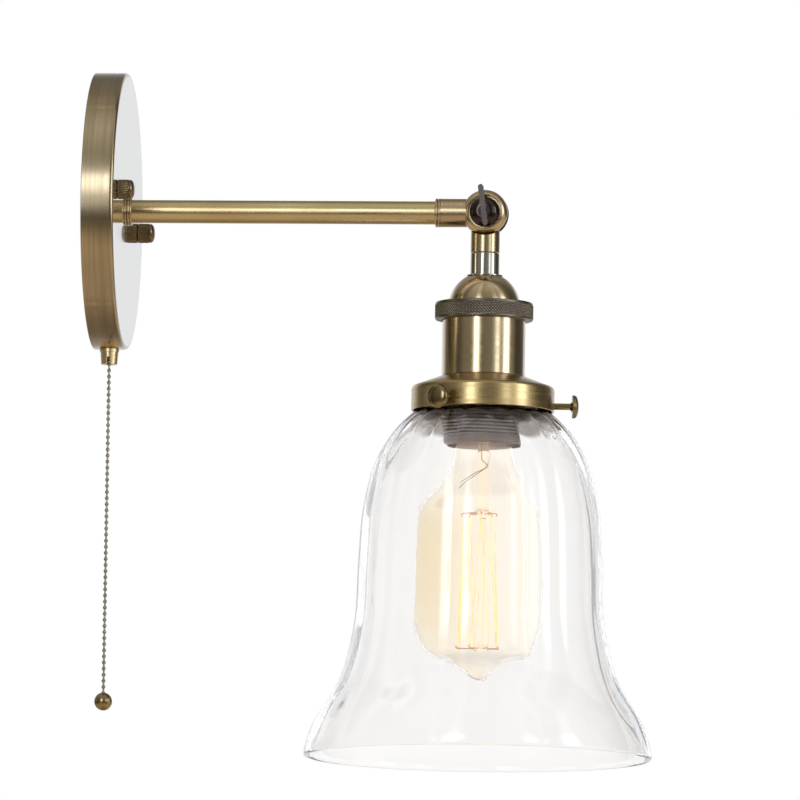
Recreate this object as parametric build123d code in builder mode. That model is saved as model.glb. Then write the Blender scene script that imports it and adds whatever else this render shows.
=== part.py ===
from build123d import *
from math import acos, asin, cos, degrees, pi, radians, sin, sqrt
import os

# Wall sconce: a round canopy on the wall, a straight arm, a clamped knuckle and a lamp
# holder with a clear bell shade, switched by a pull chain under the canopy.
# Millimetres. The origin is the middle of the canopy's back, on the wall. +X points out
# of the wall along the arm and +Z points up.

# ---- Fits ---------------------------------------------------------------------------
RUNNING_GAP = 0.05           # radial, where a thread or pin turns in its hole
LOOSE_GAP = 0.3              # where pieces only pass each other

# ---- Canopy and its fixing ----------------------------------------------------------
CANOPY_DIA = 120.0
CANOPY_DEPTH = 14.0
CANOPY_WALL = 1.2
CANOPY_EDGE_RADIUS = 1.7
BRACKET_PAST_STUD = 8.0
BRACKET_WIDTH = 18.0
BRACKET_THICKNESS = 1.5
BRACKET_TURN = -6.2          # degrees about X, as the strip was screwed to the wall
WALL_SCREW_SPACING = 60.3
WALL_SCREW_HOLE_DIA = 5.0
STUD_FROM_RIM = 18.0         # from the canopy's rim to the middle of a stud
STUD_DIA = 4.0
STUD_CHAMFER = 0.4
STUD_NUT_FLATS = 7.0
STUD_NUT_HEIGHT = 3.2
CAP_NUT_DIA = 8.5
CAP_NUT_LENGTH = 7.3
CAP_NUT_DOME = 2.6
CAP_NUT_SKIN = 1.6           # metal left over the end of the stud
KNURL_COUNT = 24
KNURL_RADIUS = 0.3
EARTH_SCREW_SPOT = 17.0      # from the middle, along the strip
EARTH_SCREW_DIA = 4.0
EARTH_HEAD_DIA = 7.5
EARTH_HEAD_HEIGHT = 2.4
EARTH_WASHER_HEIGHT = 0.8

# ---- Pull switch --------------------------------------------------------------------
CHAIN_X = 7.0                # the chain hangs this far from the wall
SWITCH_WIDTH = 24.0
SWITCH_HEIGHT = 24.0
SWITCH_DEPTH = 10.4
SWITCH_CORNER = 2.0
SWITCH_NECK_DIA = 7.0
SWITCH_NECK_REACH = 4.6      # from the switch to the inside of the canopy's rim
SWITCH_NUT_FLATS = 10.0
SWITCH_NUT_HEIGHT = 2.4
BUSHING_COLLAR_DIA = 8.4
BUSHING_COLLAR_HEIGHT = 1.3
BUSHING_DIA = 7.8
BUSHING_TIP_DIA = 7.0
BUSHING_REACH = 6.7          # how far it stands below the canopy
BUSHING_SLOT_WIDTH = 1.2
BUSHING_SLOT_DEPTH = 3.0
CHAIN_DIA = 1.9
CHAIN_BORE_DIA = 2.6
CHAIN_IN_SWITCH = 6.0        # chain inside the switch at rest, and how far it can be pulled
CHAIN_LENGTH = 142.7         # from the mouth of the bushing to the ball
PULL_BALL_DIA = 7.8

# ---- Terminal block and wires -------------------------------------------------------
TERMINAL_WIDTH = 26.0
TERMINAL_HEIGHT = 14.0
TERMINAL_DEPTH = 9.0
TERMINAL_CORNER = 1.0
TERMINAL_BOTTOM = 26.0       # above the arm
TERMINAL_POLES = 3
TERMINAL_PITCH = 8.0
TERMINAL_SCREW_DIA = 3.4
TERMINAL_SCREW_HEIGHT = 1.0
TERMINAL_HOLE_DIA = 2.6
WIRE_DIA = 2.0
WIRE_PLANE_X = 7.6           # the wires lie at this distance from the wall
WIRE_SPREAD = 1.3            # half the distance between the two wires in the arm
WIRE_BEND = 3.0

# ---- Arm ----------------------------------------------------------------------------
ARM_DIA = 10.0
ARM_BORE = 8.0
ARM_TAIL = 7.5               # tube behind the canopy's front
ARM_BASE_RING_DIA = 12.4
ARM_BASE_RING_LENGTH = 2.0
ARM_WASHER_DIA = 16.0
ARM_WASHER_THICKNESS = 0.8
ARM_NUT_FLATS = 14.0
ARM_NUT_HEIGHT = 3.0
ARM_END_RING_DIA = 12.6
ARM_END_RING_LENGTH = 2.5
RING_BEAD = 0.5

# ---- Knuckle ------------------------------------------------------------------------
KNUCKLE_X = 169.5            # its axis is this far from the wall
BALL_DIA = 19.0
SLEEVE_DIA = 12.3
SLEEVE_LENGTH = 19.2         # from its end to the knuckle's axis
SLEEVE_THREAD_DEPTH = 7.7
FORK_GAP = 6.0
FORK_SLOT_BACK = 6.5         # from the knuckle's axis to the floor of the slot
TONGUE_THICKNESS = 5.4
TONGUE_RADIUS = 7.2
TONGUE_NECK_WIDTH = 8.8
FRICTION_WASHER_DIA = 12.0
WIRE_WAY_WIDTH = 5.4
WIRE_WAY_HEIGHT = 3.2
RECESS_DIA = 14.3
RECESS_FLOOR = 4.5           # from the middle of the ball
RECESS_CHAMFER = 0.4
WING_SHANK_DIA = 4.0
WING_SHANK_END = 8.6         # past the middle of the ball
WING_HEAD_DIA = 13.0
WING_HEAD_EDGE = 1.5
WING_HEAD_TOP = 10.0         # from the middle of the ball
FIN_WIDTH = 2.3
FIN_UP = 11.5
FIN_DOWN = 6.4
FIN_FRONT = 11.2             # from the middle of the ball
FIN_BACK = 6.7
FIN_LEAN = 8.0               # degrees, its top towards the wall

# ---- Stem ---------------------------------------------------------------------------
STEM_DIA = 12.6
STEM_UPPER_END = 17.5        # below the knuckle's axis
STEM_GROOVE = 0.2
STEM_CHAMFER = 0.3
STEM_COLLAR_LENGTH = 9.4
NIPPLE_DIA = 10.0
NIPPLE_BORE = 7.0
NIPPLE_GRIP = 4.7            # nipple inside the knuckle's lower half
STEM_WASHER_DIA = 17.0
STEM_WASHER_THICKNESS = 0.5

# ---- Lamp holder --------------------------------------------------------------------
DOME_STEP = 0.7              # from the holder's outside in to the dome's flange
DOME_FLAT_RADIUS = 7.7
DOME_WALL = 1.2
DOME_FLANGE_REACH = 1.6
DOME_FLANGE_THICKNESS = 1.2
DOME_NUT_FLATS = 12.4
DOME_NUT_HEIGHT = 3.0
KNURLED_RING_PROUD = 3.3     # how far it stands out from the holder
KNURLED_RING_HEIGHT = 7.5
KNURLED_RING_LIP = 2.2
KNURLED_RING_ROUND = 1.0
HOLDER_WALL = 1.4
HOLDER_LENGTH = 28.6
SKIRT_STEP = 1.0             # from the holder's outside in to the skirt's
SKIRT_LENGTH = 30.0
SKIRT_SPIGOT = 9.0
SKIRT_SPIGOT_WALL = 1.35
SKIRT_THREAD_PITCH = 2.0
SKIRT_THREAD_DEPTH = 0.5
SKIRT_BEVEL = 1.2
SKIRT_LEAD = 3.0             # plain stretch at each end of the skirt's thread

# ---- Socket -------------------------------------------------------------------------
INSERT_THICKNESS = 12.0
INSERT_TUBE_WALL = 0.9
INSERT_TUBE_LENGTH = 29.0
SHELL_WALL = 0.4
SHELL_PLAY = 0.6             # radial, round the bulb's cap
SHELL_LENGTH = 27.0
CONTACT_DIA = 8.0
CONTACT_HEIGHT = 1.4
SOCKET_SCREW_SPACING = 18.0
SOCKET_SCREW_DIA = 5.0
SOCKET_SCREW_HEIGHT = 1.8

# ---- Shade carrier and glass --------------------------------------------------------
GALLERY_DIA = 61.8
GALLERY_WALL = 1.0
GALLERY_DROP = 15.2          # from the holder's lower edge to the gallery's
GALLERY_SHOULDER_DROP = 5.8
GALLERY_CORNER = 1.0
SHADE_RING_DIA = 41.6
SHADE_RING_HEIGHT = 4.6
SHADE_RING_CONE = 1.3
GLASS_WALL = 2.3
GLASS_LIP_PLAY = 1.4         # radial, from the gallery's wall to the lip of the glass
GLASS_LIP_PROUD = 1.3        # how far the lip stands out from the neck
GLASS_LIP_HEIGHT = 3.4
SHOULDER_STEP = 3.0          # from the neck's outside out to the bell's first point
SHOULDER_DROP = 87.2         # that point below the knuckle's axis
BELL_STEPS = 16              # points that carry the outline over to the inner face
# half widths of the bell below its shoulder and how far each lies below the knuckle's axis
BELL_OUTLINE = [
    (36.9, 93.6), (45.3, 106.4), (50.7, 125.9), (52.9, 152.0),
    (54.2, 178.0), (60.7, 204.0), (72.1, 223.6), (75.1, 235.2),
]
SHADE_SCREW_DROP = 83.4      # below the knuckle's axis
SHADE_SCREW_COUNT = 3
SHADE_SCREW_TURN = 7.0       # degrees of the first one from +X
SHADE_SCREW_DIA = 2.8
SHADE_SCREW_STANDOFF = 7.7   # from the gallery to the back of the head
SHADE_SCREW_HEAD_DIA = 10.2
SHADE_SCREW_HEAD_EDGE = 0.9
SHADE_SCREW_HEAD_HEIGHT = 2.9

# ---- Bulb ---------------------------------------------------------------------------
BULB_CAP_DIA = 26.4
BULB_CAP_WALL = 0.4
BULB_CAP_TOP = 68.0          # below the knuckle's axis
BULB_THREAD_PITCH = 3.6
BULB_THREAD_DEPTH = 0.8
BULB_THREAD_TURNS = 5
BULB_CAP_SKIRT = 4.5
BULB_INSULATOR_HEIGHT = 3.2
BULB_CONTACT_DIA = 9.4
BULB_CONTACT_HEIGHT = 1.1
BULB_GLASS_WALL = 0.8
BULB_NECK_DIA = 24.4
BULB_NECK_IN_CAP = 3.0
BULB_TIP_DROP = 203.6        # below the knuckle's axis
BULB_TIP_DIA = 5.0
# half widths of the envelope and how far each lies below the knuckle's axis
BULB_OUTLINE = [
    (12.4, 99.0), (13.6, 108.0), (18.6, 118.0), (24.6, 127.0), (27.2, 142.0),
    (27.6, 164.0), (27.0, 181.0), (22.4, 192.0), (8.0, 197.6),
]
MOUNT_FLARE_LENGTH = 12.0
MOUNT_ROD_DIA = 4.4
MOUNT_BUTTON_DIA = 6.4
MOUNT_BUTTON_HEIGHT = 3.0
MOUNT_BUTTON_DROP = 129.0
SPINE_DIA = 1.8
FOOT_BUTTON_DROP = 188.0
HOOK_COUNT = 8
HOOK_WIRE_DIA = 0.5
HOOK_TOP_REACH = 7.0
HOOK_FOOT_REACH = 9.0
FILAMENT_DIA = 0.4

os.makedirs("parts", exist_ok=True)


def save(builder, name):
    """Label a finished piece and write its file."""
    builder.part.label = name
    export_step(builder.part, f"parts/{name}.step")


def arm_plane(x):
    """A plane across the arm that faces away from the wall."""
    return Plane.YZ.offset(x)


def head_plane(drop):
    """A level plane on the lamp holder's axis, this far below the knuckle."""
    return Plane(origin=(KNUCKLE_X, 0, -drop))


def below(profile):
    """Turn half widths and drops into points of a sketch through the head's axis."""
    return [(half_width, -drop) for half_width, drop in profile]


head_section = Plane(origin=(KNUCKLE_X, 0, 0), x_dir=(1, 0, 0), z_dir=(0, -1, 0))
head_axis = Axis((KNUCKLE_X, 0, 0), (0, 0, 1))
bracket_way = Vector(0, cos(radians(BRACKET_TURN)), sin(radians(BRACKET_TURN)))
bracket_plane = Plane(origin=(0, 0, 0), x_dir=bracket_way, z_dir=(1, 0, 0))
canopy_inside_x = CANOPY_DEPTH - CANOPY_WALL
stud_radius = STUD_DIA / 2
stud_spacing = CANOPY_DIA - 2 * STUD_FROM_RIM
bracket_length = stud_spacing + 2 * BRACKET_PAST_STUD

# ---- Wall bracket, studs and earth screw --------------------------------------------
with BuildPart() as wall_bracket:
    with BuildSketch(bracket_plane):
        SlotOverall(bracket_length, BRACKET_WIDTH)
        with GridLocations(WALL_SCREW_SPACING, 0, 2, 1):
            Circle(WALL_SCREW_HOLE_DIA / 2, mode=Mode.SUBTRACT)
        with GridLocations(stud_spacing, 0, 2, 1):
            Circle(stud_radius + RUNNING_GAP, mode=Mode.SUBTRACT)
        with Locations((EARTH_SCREW_SPOT, 0)):
            Circle(EARTH_SCREW_DIA / 2 + RUNNING_GAP, mode=Mode.SUBTRACT)
    extrude(amount=BRACKET_THICKNESS)
save(wall_bracket, "wall_bracket")

stud_end_x = CANOPY_DEPTH + CAP_NUT_LENGTH - CAP_NUT_SKIN - LOOSE_GAP
with BuildPart() as canopy_studs:
    with BuildSketch(bracket_plane):
        with GridLocations(stud_spacing, 0, 2, 1):
            Circle(stud_radius)
    extrude(amount=stud_end_x)
    chamfer(canopy_studs.edges().group_by(Axis.X)[-1], STUD_CHAMFER)
save(canopy_studs, "canopy_studs")

with BuildPart() as stud_nuts:
    with BuildSketch(bracket_plane.offset(BRACKET_THICKNESS)):
        with GridLocations(stud_spacing, 0, 2, 1):
            RegularPolygon(STUD_NUT_FLATS / 2, 6, major_radius=False)
            Circle(stud_radius + RUNNING_GAP, mode=Mode.SUBTRACT)
    extrude(amount=STUD_NUT_HEIGHT)
save(stud_nuts, "stud_nuts")

with BuildPart() as earth_screw:
    with BuildSketch(bracket_plane):
        with Locations((EARTH_SCREW_SPOT, 0)):
            Circle(EARTH_SCREW_DIA / 2)
    extrude(amount=BRACKET_THICKNESS)
    with BuildSketch(bracket_plane.offset(BRACKET_THICKNESS)):
        with Locations((EARTH_SCREW_SPOT, 0)):
            Rectangle(EARTH_HEAD_DIA, EARTH_HEAD_DIA)
    extrude(amount=EARTH_WASHER_HEIGHT)
    with BuildSketch(bracket_plane.offset(BRACKET_THICKNESS + EARTH_WASHER_HEIGHT)):
        with Locations((EARTH_SCREW_SPOT, 0)):
            Circle(EARTH_HEAD_DIA / 2)
    extrude(amount=EARTH_HEAD_HEIGHT)
    fillet(earth_screw.edges().group_by(Axis.X)[-1], EARTH_HEAD_HEIGHT / 3)
    with BuildSketch(bracket_plane.offset(BRACKET_THICKNESS + EARTH_WASHER_HEIGHT + EARTH_HEAD_HEIGHT)):
        with Locations((EARTH_SCREW_SPOT, 0)):
            Rectangle(EARTH_HEAD_DIA, EARTH_HEAD_HEIGHT / 2)
    extrude(amount=-EARTH_HEAD_HEIGHT / 2, mode=Mode.SUBTRACT)
save(earth_screw, "earth_screw")

# ---- Canopy -------------------------------------------------------------------------
with BuildPart() as canopy:
    with BuildSketch(Plane.YZ):
        Circle(CANOPY_DIA / 2)
    extrude(amount=CANOPY_DEPTH)
    fillet(canopy.edges().group_by(Axis.X)[-1], CANOPY_EDGE_RADIUS)
    with BuildSketch(Plane.YZ):
        Circle(CANOPY_DIA / 2 - CANOPY_WALL)
    extrude(amount=canopy_inside_x, mode=Mode.SUBTRACT)
    with BuildSketch(arm_plane(canopy_inside_x)):
        Circle(ARM_DIA / 2 + LOOSE_GAP)
    extrude(amount=CANOPY_WALL, mode=Mode.SUBTRACT)
    with BuildSketch(bracket_plane.offset(canopy_inside_x)):
        with GridLocations(stud_spacing, 0, 2, 1):
            Circle(stud_radius + LOOSE_GAP)
    extrude(amount=CANOPY_WALL, mode=Mode.SUBTRACT)
    with BuildSketch(Plane.XY.offset(-CANOPY_DIA / 2)):
        with Locations((CHAIN_X, 0)):
            Circle(SWITCH_NECK_DIA / 2 + LOOSE_GAP)
    extrude(amount=SWITCH_NECK_DIA, mode=Mode.SUBTRACT)
save(canopy, "canopy")


def cap_nut(side):
    """A knurled cap nut on one stud; side is -1 or 1 along the bracket."""
    spot = bracket_plane.from_local_coords((side * stud_spacing / 2, 0, CANOPY_DEPTH))
    seat = Plane(origin=spot, x_dir=bracket_plane.x_dir, z_dir=(1, 0, 0))
    with BuildPart() as nut:
        with BuildSketch(seat):
            Circle(CAP_NUT_DIA / 2)
        extrude(amount=CAP_NUT_LENGTH)
        fillet(nut.edges().group_by(Axis.X)[-1], CAP_NUT_DOME)
        with BuildSketch(seat):
            with PolarLocations(CAP_NUT_DIA / 2, KNURL_COUNT):
                Circle(KNURL_RADIUS)
        extrude(amount=CAP_NUT_LENGTH - CAP_NUT_DOME, mode=Mode.SUBTRACT)
        with BuildSketch(seat):
            Circle(stud_radius + RUNNING_GAP)
        extrude(amount=CAP_NUT_LENGTH - CAP_NUT_SKIN, mode=Mode.SUBTRACT)
    return nut


for nut_name, nut_side in (("cap_nut_near", -1), ("cap_nut_far", 1)):
    save(cap_nut(nut_side), nut_name)

# ---- Pull switch under the arm, with its chain --------------------------------------
rim_inside_z = -(CANOPY_DIA / 2 - CANOPY_WALL)
switch_bottom_z = rim_inside_z + SWITCH_NECK_REACH
chain_bore_top_z = switch_bottom_z + CHAIN_IN_SWITCH + LOOSE_GAP
bushing_mouth_z = -CANOPY_DIA / 2 - BUSHING_REACH
ball_top_z = bushing_mouth_z - CHAIN_LENGTH
chain_axis = Axis((CHAIN_X, 0, 0), (0, 0, 1))
chain_section = Plane(origin=(CHAIN_X, 0, 0), x_dir=(1, 0, 0), z_dir=(0, -1, 0))

with BuildPart() as switch_body:
    with BuildSketch(Plane(origin=(CHAIN_X, 0, switch_bottom_z))):
        RectangleRounded(SWITCH_DEPTH, SWITCH_WIDTH, SWITCH_CORNER)
    extrude(amount=SWITCH_HEIGHT)
    fillet(switch_body.edges().group_by(Axis.Z)[-1], SWITCH_CORNER / 2)
    with BuildSketch(Plane(origin=(CHAIN_X, 0, switch_bottom_z))):
        Circle(CHAIN_BORE_DIA / 2)
    extrude(amount=chain_bore_top_z - switch_bottom_z, mode=Mode.SUBTRACT)
save(switch_body, "switch_body")

with BuildPart() as switch_lock_nut:
    with BuildSketch(Plane(origin=(CHAIN_X, 0, rim_inside_z + LOOSE_GAP))):
        RegularPolygon(SWITCH_NUT_FLATS / 2, 6, major_radius=False)
        Circle(SWITCH_NECK_DIA / 2 + RUNNING_GAP, mode=Mode.SUBTRACT)
    extrude(amount=SWITCH_NUT_HEIGHT)
save(switch_lock_nut, "switch_lock_nut")

with BuildPart() as chain_bushing:
    with BuildSketch(chain_section):
        with BuildLine():
            Polyline(
                (CHAIN_BORE_DIA / 2, switch_bottom_z),
                (SWITCH_NECK_DIA / 2, switch_bottom_z),
                (SWITCH_NECK_DIA / 2, -CANOPY_DIA / 2),
                (BUSHING_COLLAR_DIA / 2, -CANOPY_DIA / 2),
                (BUSHING_COLLAR_DIA / 2, -CANOPY_DIA / 2 - BUSHING_COLLAR_HEIGHT),
                (BUSHING_DIA / 2, -CANOPY_DIA / 2 - BUSHING_COLLAR_HEIGHT),
                (BUSHING_TIP_DIA / 2, bushing_mouth_z),
                (CHAIN_BORE_DIA / 2, bushing_mouth_z),
                close=True,
            )
        make_face()
    revolve(axis=chain_axis)
    with BuildSketch(Plane(origin=(CHAIN_X, 0, bushing_mouth_z))):
        Rectangle(BUSHING_SLOT_WIDTH, BUSHING_DIA)
    extrude(amount=BUSHING_SLOT_DEPTH, mode=Mode.SUBTRACT)
save(chain_bushing, "chain_bushing")

with BuildPart() as pull_chain:
    with BuildSketch(Plane(origin=(CHAIN_X, 0, ball_top_z))):
        Circle(CHAIN_DIA / 2)
    extrude(amount=switch_bottom_z + CHAIN_IN_SWITCH - ball_top_z)
save(pull_chain, "pull_chain")

ball_flat_drop = sqrt((PULL_BALL_DIA / 2) ** 2 - (CHAIN_BORE_DIA / 2) ** 2)
with BuildPart() as pull_ball:
    with Locations((CHAIN_X, 0, ball_top_z - ball_flat_drop)):
        Sphere(PULL_BALL_DIA / 2)
    split(bisect_by=Plane.XY.offset(ball_top_z), keep=Keep.BOTTOM)
save(pull_ball, "pull_ball")

# ---- Terminal block and the wires in the canopy and the arm -------------------------
terminal_x = canopy_inside_x - TERMINAL_DEPTH
terminal_middle_z = TERMINAL_BOTTOM + TERMINAL_HEIGHT / 2
with BuildPart() as terminal_block:
    with BuildSketch(arm_plane(terminal_x)):
        with Locations((0, terminal_middle_z)):
            RectangleRounded(TERMINAL_WIDTH, TERMINAL_HEIGHT, TERMINAL_CORNER)
    extrude(amount=TERMINAL_DEPTH)
    with BuildSketch(Plane(origin=(WIRE_PLANE_X, 0, TERMINAL_BOTTOM))):
        with GridLocations(0, TERMINAL_PITCH, 1, TERMINAL_POLES):
            Circle(TERMINAL_HOLE_DIA / 2)
    extrude(amount=TERMINAL_HEIGHT, mode=Mode.SUBTRACT)
save(terminal_block, "terminal_block")

with BuildPart() as terminal_block_screws:
    with BuildSketch(arm_plane(terminal_x)):
        with Locations((0, terminal_middle_z)):
            with GridLocations(TERMINAL_PITCH, TERMINAL_HEIGHT / 2, TERMINAL_POLES, 2):
                Circle(TERMINAL_SCREW_DIA / 2)
    extrude(amount=-TERMINAL_SCREW_HEIGHT)
    with BuildSketch(arm_plane(terminal_x - TERMINAL_SCREW_HEIGHT)):
        with Locations((0, terminal_middle_z)):
            with GridLocations(TERMINAL_PITCH, TERMINAL_HEIGHT / 2, TERMINAL_POLES, 2):
                Rectangle(TERMINAL_SCREW_DIA, TERMINAL_SCREW_DIA / 5)
    extrude(amount=TERMINAL_SCREW_HEIGHT / 2, mode=Mode.SUBTRACT)
save(terminal_block_screws, "terminal_block_screws")


def wire(name, *points):
    """A wire of straight runs and round bends through the points."""
    route = FilletPolyline(*points, radius=WIRE_BEND)
    with BuildPart() as core:
        with BuildSketch(Plane(origin=route @ 0, z_dir=route % 0)):
            Circle(WIRE_DIA / 2)
        sweep(path=route)
    save(core, name)


arm_start_x = CANOPY_DEPTH - ARM_TAIL
arm_end_x = KNUCKLE_X - SLEEVE_LENGTH + SLEEVE_THREAD_DEPTH
wire_end_x = KNUCKLE_X - TONGUE_RADIUS - 2 * LOOSE_GAP
wire_turn_x = arm_start_x - WIRE_DIA - LOOSE_GAP
wire_clear_y = ARM_WASHER_DIA / 2 + WIRE_DIA
switch_top_z = switch_bottom_z + SWITCH_HEIGHT
switch_wire_y = SWITCH_WIDTH / 4
wire(
    "live_wire",
    (WIRE_PLANE_X, -TERMINAL_PITCH, TERMINAL_BOTTOM + WIRE_DIA),
    (WIRE_PLANE_X, -TERMINAL_PITCH, TERMINAL_BOTTOM - TERMINAL_HEIGHT / 2),
    (WIRE_PLANE_X, -wire_clear_y - WIRE_DIA, 0),
    (WIRE_PLANE_X, -switch_wire_y, switch_top_z + SWITCH_HEIGHT / 3),
    (WIRE_PLANE_X, -switch_wire_y, switch_top_z),
)
wire(
    "switched_wire",
    (WIRE_PLANE_X, switch_wire_y, switch_top_z),
    (WIRE_PLANE_X, switch_wire_y, switch_top_z + SWITCH_HEIGHT / 3),
    (wire_turn_x, WIRE_SPREAD, -ARM_NUT_FLATS / 2),
    (wire_turn_x, WIRE_SPREAD, 0),
    (wire_end_x, WIRE_SPREAD, 0),
)
wire(
    "neutral_wire",
    (WIRE_PLANE_X, 0, TERMINAL_BOTTOM + WIRE_DIA),
    (WIRE_PLANE_X, 0, TERMINAL_BOTTOM - TERMINAL_HEIGHT / 2),
    (wire_turn_x, -WIRE_SPREAD, ARM_NUT_FLATS / 2),
    (wire_turn_x, -WIRE_SPREAD, 0),
    (wire_end_x, -WIRE_SPREAD, 0),
)
earth_spot = bracket_plane.from_local_coords((EARTH_SCREW_SPOT, 0, 0))
earth_lug_z = earth_spot.Z + EARTH_HEAD_DIA / 2
earth_lug_x = BRACKET_THICKNESS + WIRE_DIA / 2 + LOOSE_GAP
wire(
    "earth_wire",
    (WIRE_PLANE_X, TERMINAL_PITCH, TERMINAL_BOTTOM + WIRE_DIA),
    (WIRE_PLANE_X, TERMINAL_PITCH, TERMINAL_BOTTOM - TERMINAL_HEIGHT / 2),
    (earth_lug_x, earth_spot.Y, earth_lug_z + TERMINAL_HEIGHT / 2),
    (earth_lug_x, earth_spot.Y, earth_lug_z + LOOSE_GAP),
)

# ---- Arm ----------------------------------------------------------------------------
with BuildPart() as arm_tube:
    with BuildSketch(arm_plane(arm_start_x)):
        Circle(ARM_DIA / 2)
        Circle(ARM_BORE / 2, mode=Mode.SUBTRACT)
    extrude(amount=arm_end_x - arm_start_x)
save(arm_tube, "arm_tube")

with BuildPart() as arm_base_ring:
    with BuildSketch(arm_plane(CANOPY_DEPTH)):
        Circle(ARM_BASE_RING_DIA / 2)
        Circle(ARM_DIA / 2 + RUNNING_GAP, mode=Mode.SUBTRACT)
    extrude(amount=ARM_BASE_RING_LENGTH)
    round_edges = arm_base_ring.edges().filter_by(GeomType.CIRCLE)
    fillet(round_edges.sort_by(SortBy.RADIUS)[-2:], RING_BEAD)
save(arm_base_ring, "arm_base_ring")

washer_x = canopy_inside_x - ARM_WASHER_THICKNESS
with BuildPart() as arm_washer:
    with BuildSketch(arm_plane(washer_x)):
        Circle(ARM_WASHER_DIA / 2)
        Circle(ARM_DIA / 2 + RUNNING_GAP, mode=Mode.SUBTRACT)
    extrude(amount=ARM_WASHER_THICKNESS)
save(arm_washer, "arm_washer")

with BuildPart() as arm_lock_nut:
    with BuildSketch(arm_plane(washer_x)):
        RegularPolygon(ARM_NUT_FLATS / 2, 6, major_radius=False)
        Circle(ARM_DIA / 2 + RUNNING_GAP, mode=Mode.SUBTRACT)
    extrude(amount=-ARM_NUT_HEIGHT)
save(arm_lock_nut, "arm_lock_nut")

sleeve_start_x = KNUCKLE_X - SLEEVE_LENGTH
with BuildPart() as arm_end_ring:
    with BuildSketch(arm_plane(sleeve_start_x)):
        Circle(ARM_END_RING_DIA / 2)
        Circle(ARM_DIA / 2 + RUNNING_GAP, mode=Mode.SUBTRACT)
    extrude(amount=-ARM_END_RING_LENGTH)
    round_edges = arm_end_ring.edges().filter_by(GeomType.CIRCLE)
    fillet(round_edges.sort_by(SortBy.RADIUS)[-2:], RING_BEAD)
save(arm_end_ring, "arm_end_ring")

# ---- Knuckle: fork on the arm, tongue on the stem -----------------------------------
knuckle_axis = Axis((KNUCKLE_X, 0, 0), (0, 1, 0))
recess_radius = RECESS_DIA / 2
recess_mouth = sqrt((BALL_DIA / 2) ** 2 - recess_radius ** 2)
with BuildPart() as knuckle_fork:
    with BuildSketch(arm_plane(sleeve_start_x)):
        Circle(SLEEVE_DIA / 2)
    extrude(amount=SLEEVE_LENGTH)
    with Locations((KNUCKLE_X, 0, 0)):
        Sphere(BALL_DIA / 2)
    with BuildSketch(head_section):
        with Locations((BALL_DIA / 2 - FORK_SLOT_BACK, 0)):
            Rectangle(BALL_DIA, 2 * BALL_DIA)
        Circle(TONGUE_RADIUS + LOOSE_GAP)
    extrude(amount=FORK_GAP / 2, both=True, mode=Mode.SUBTRACT)
    with BuildSketch(arm_plane(sleeve_start_x)):
        Circle(ARM_DIA / 2 + RUNNING_GAP)
    extrude(amount=SLEEVE_THREAD_DEPTH + RUNNING_GAP, mode=Mode.SUBTRACT)
    with BuildSketch(arm_plane(sleeve_start_x)):
        Circle(WIRE_SPREAD + WIRE_DIA / 2 + LOOSE_GAP)
    extrude(amount=SLEEVE_LENGTH - TONGUE_RADIUS, mode=Mode.SUBTRACT)
    with BuildSketch(Plane(origin=(KNUCKLE_X, 0, 0))):
        with BuildLine():
            Polyline(
                (0, -RECESS_FLOOR),
                (recess_radius, -RECESS_FLOOR),
                (recess_radius, -recess_mouth + RECESS_CHAMFER),
                (recess_radius + 2 * RECESS_CHAMFER, -recess_mouth - RECESS_CHAMFER),
                (recess_radius, -BALL_DIA / 2),
                (0, -BALL_DIA / 2),
                close=True,
            )
        make_face()
    revolve(axis=knuckle_axis, mode=Mode.SUBTRACT)
    with BuildSketch(head_section):
        Circle(WING_SHANK_DIA / 2 + RUNNING_GAP)
    extrude(amount=BALL_DIA, both=True, mode=Mode.SUBTRACT)
save(knuckle_fork, "knuckle_fork")

with BuildPart() as friction_washers:
    for washer_side in (-1, 1):
        with BuildSketch(head_section.offset(washer_side * FORK_GAP / 2)):
            Circle(FRICTION_WASHER_DIA / 2)
            Circle(WING_SHANK_DIA / 2 + RUNNING_GAP, mode=Mode.SUBTRACT)
        extrude(amount=-washer_side * (FORK_GAP - TONGUE_THICKNESS) / 2)
save(friction_washers, "friction_washers")

with BuildPart() as wing_screw:
    with BuildSketch(head_section.offset(RECESS_FLOOR)):
        Circle(WING_SHANK_DIA / 2)
    extrude(amount=-(RECESS_FLOOR + WING_SHANK_END))
    with BuildSketch(head_section.offset(RECESS_FLOOR)):
        Circle(WING_HEAD_DIA / 2)
    extrude(amount=WING_HEAD_TOP - RECESS_FLOOR)
    dome_edge = wing_screw.edges().group_by(Axis.Y)[0]
    fillet(dome_edge, WING_HEAD_TOP - RECESS_FLOOR - WING_HEAD_EDGE)
    with BuildSketch(head_section.offset(FIN_BACK)):
        with Locations(Rotation(0, 0, FIN_LEAN)):
            with Locations((0, (FIN_UP - FIN_DOWN) / 2)):
                SlotOverall(FIN_UP + FIN_DOWN, FIN_WIDTH, rotation=90)
    extrude(amount=FIN_FRONT - FIN_BACK)
save(wing_screw, "wing_screw")

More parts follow.
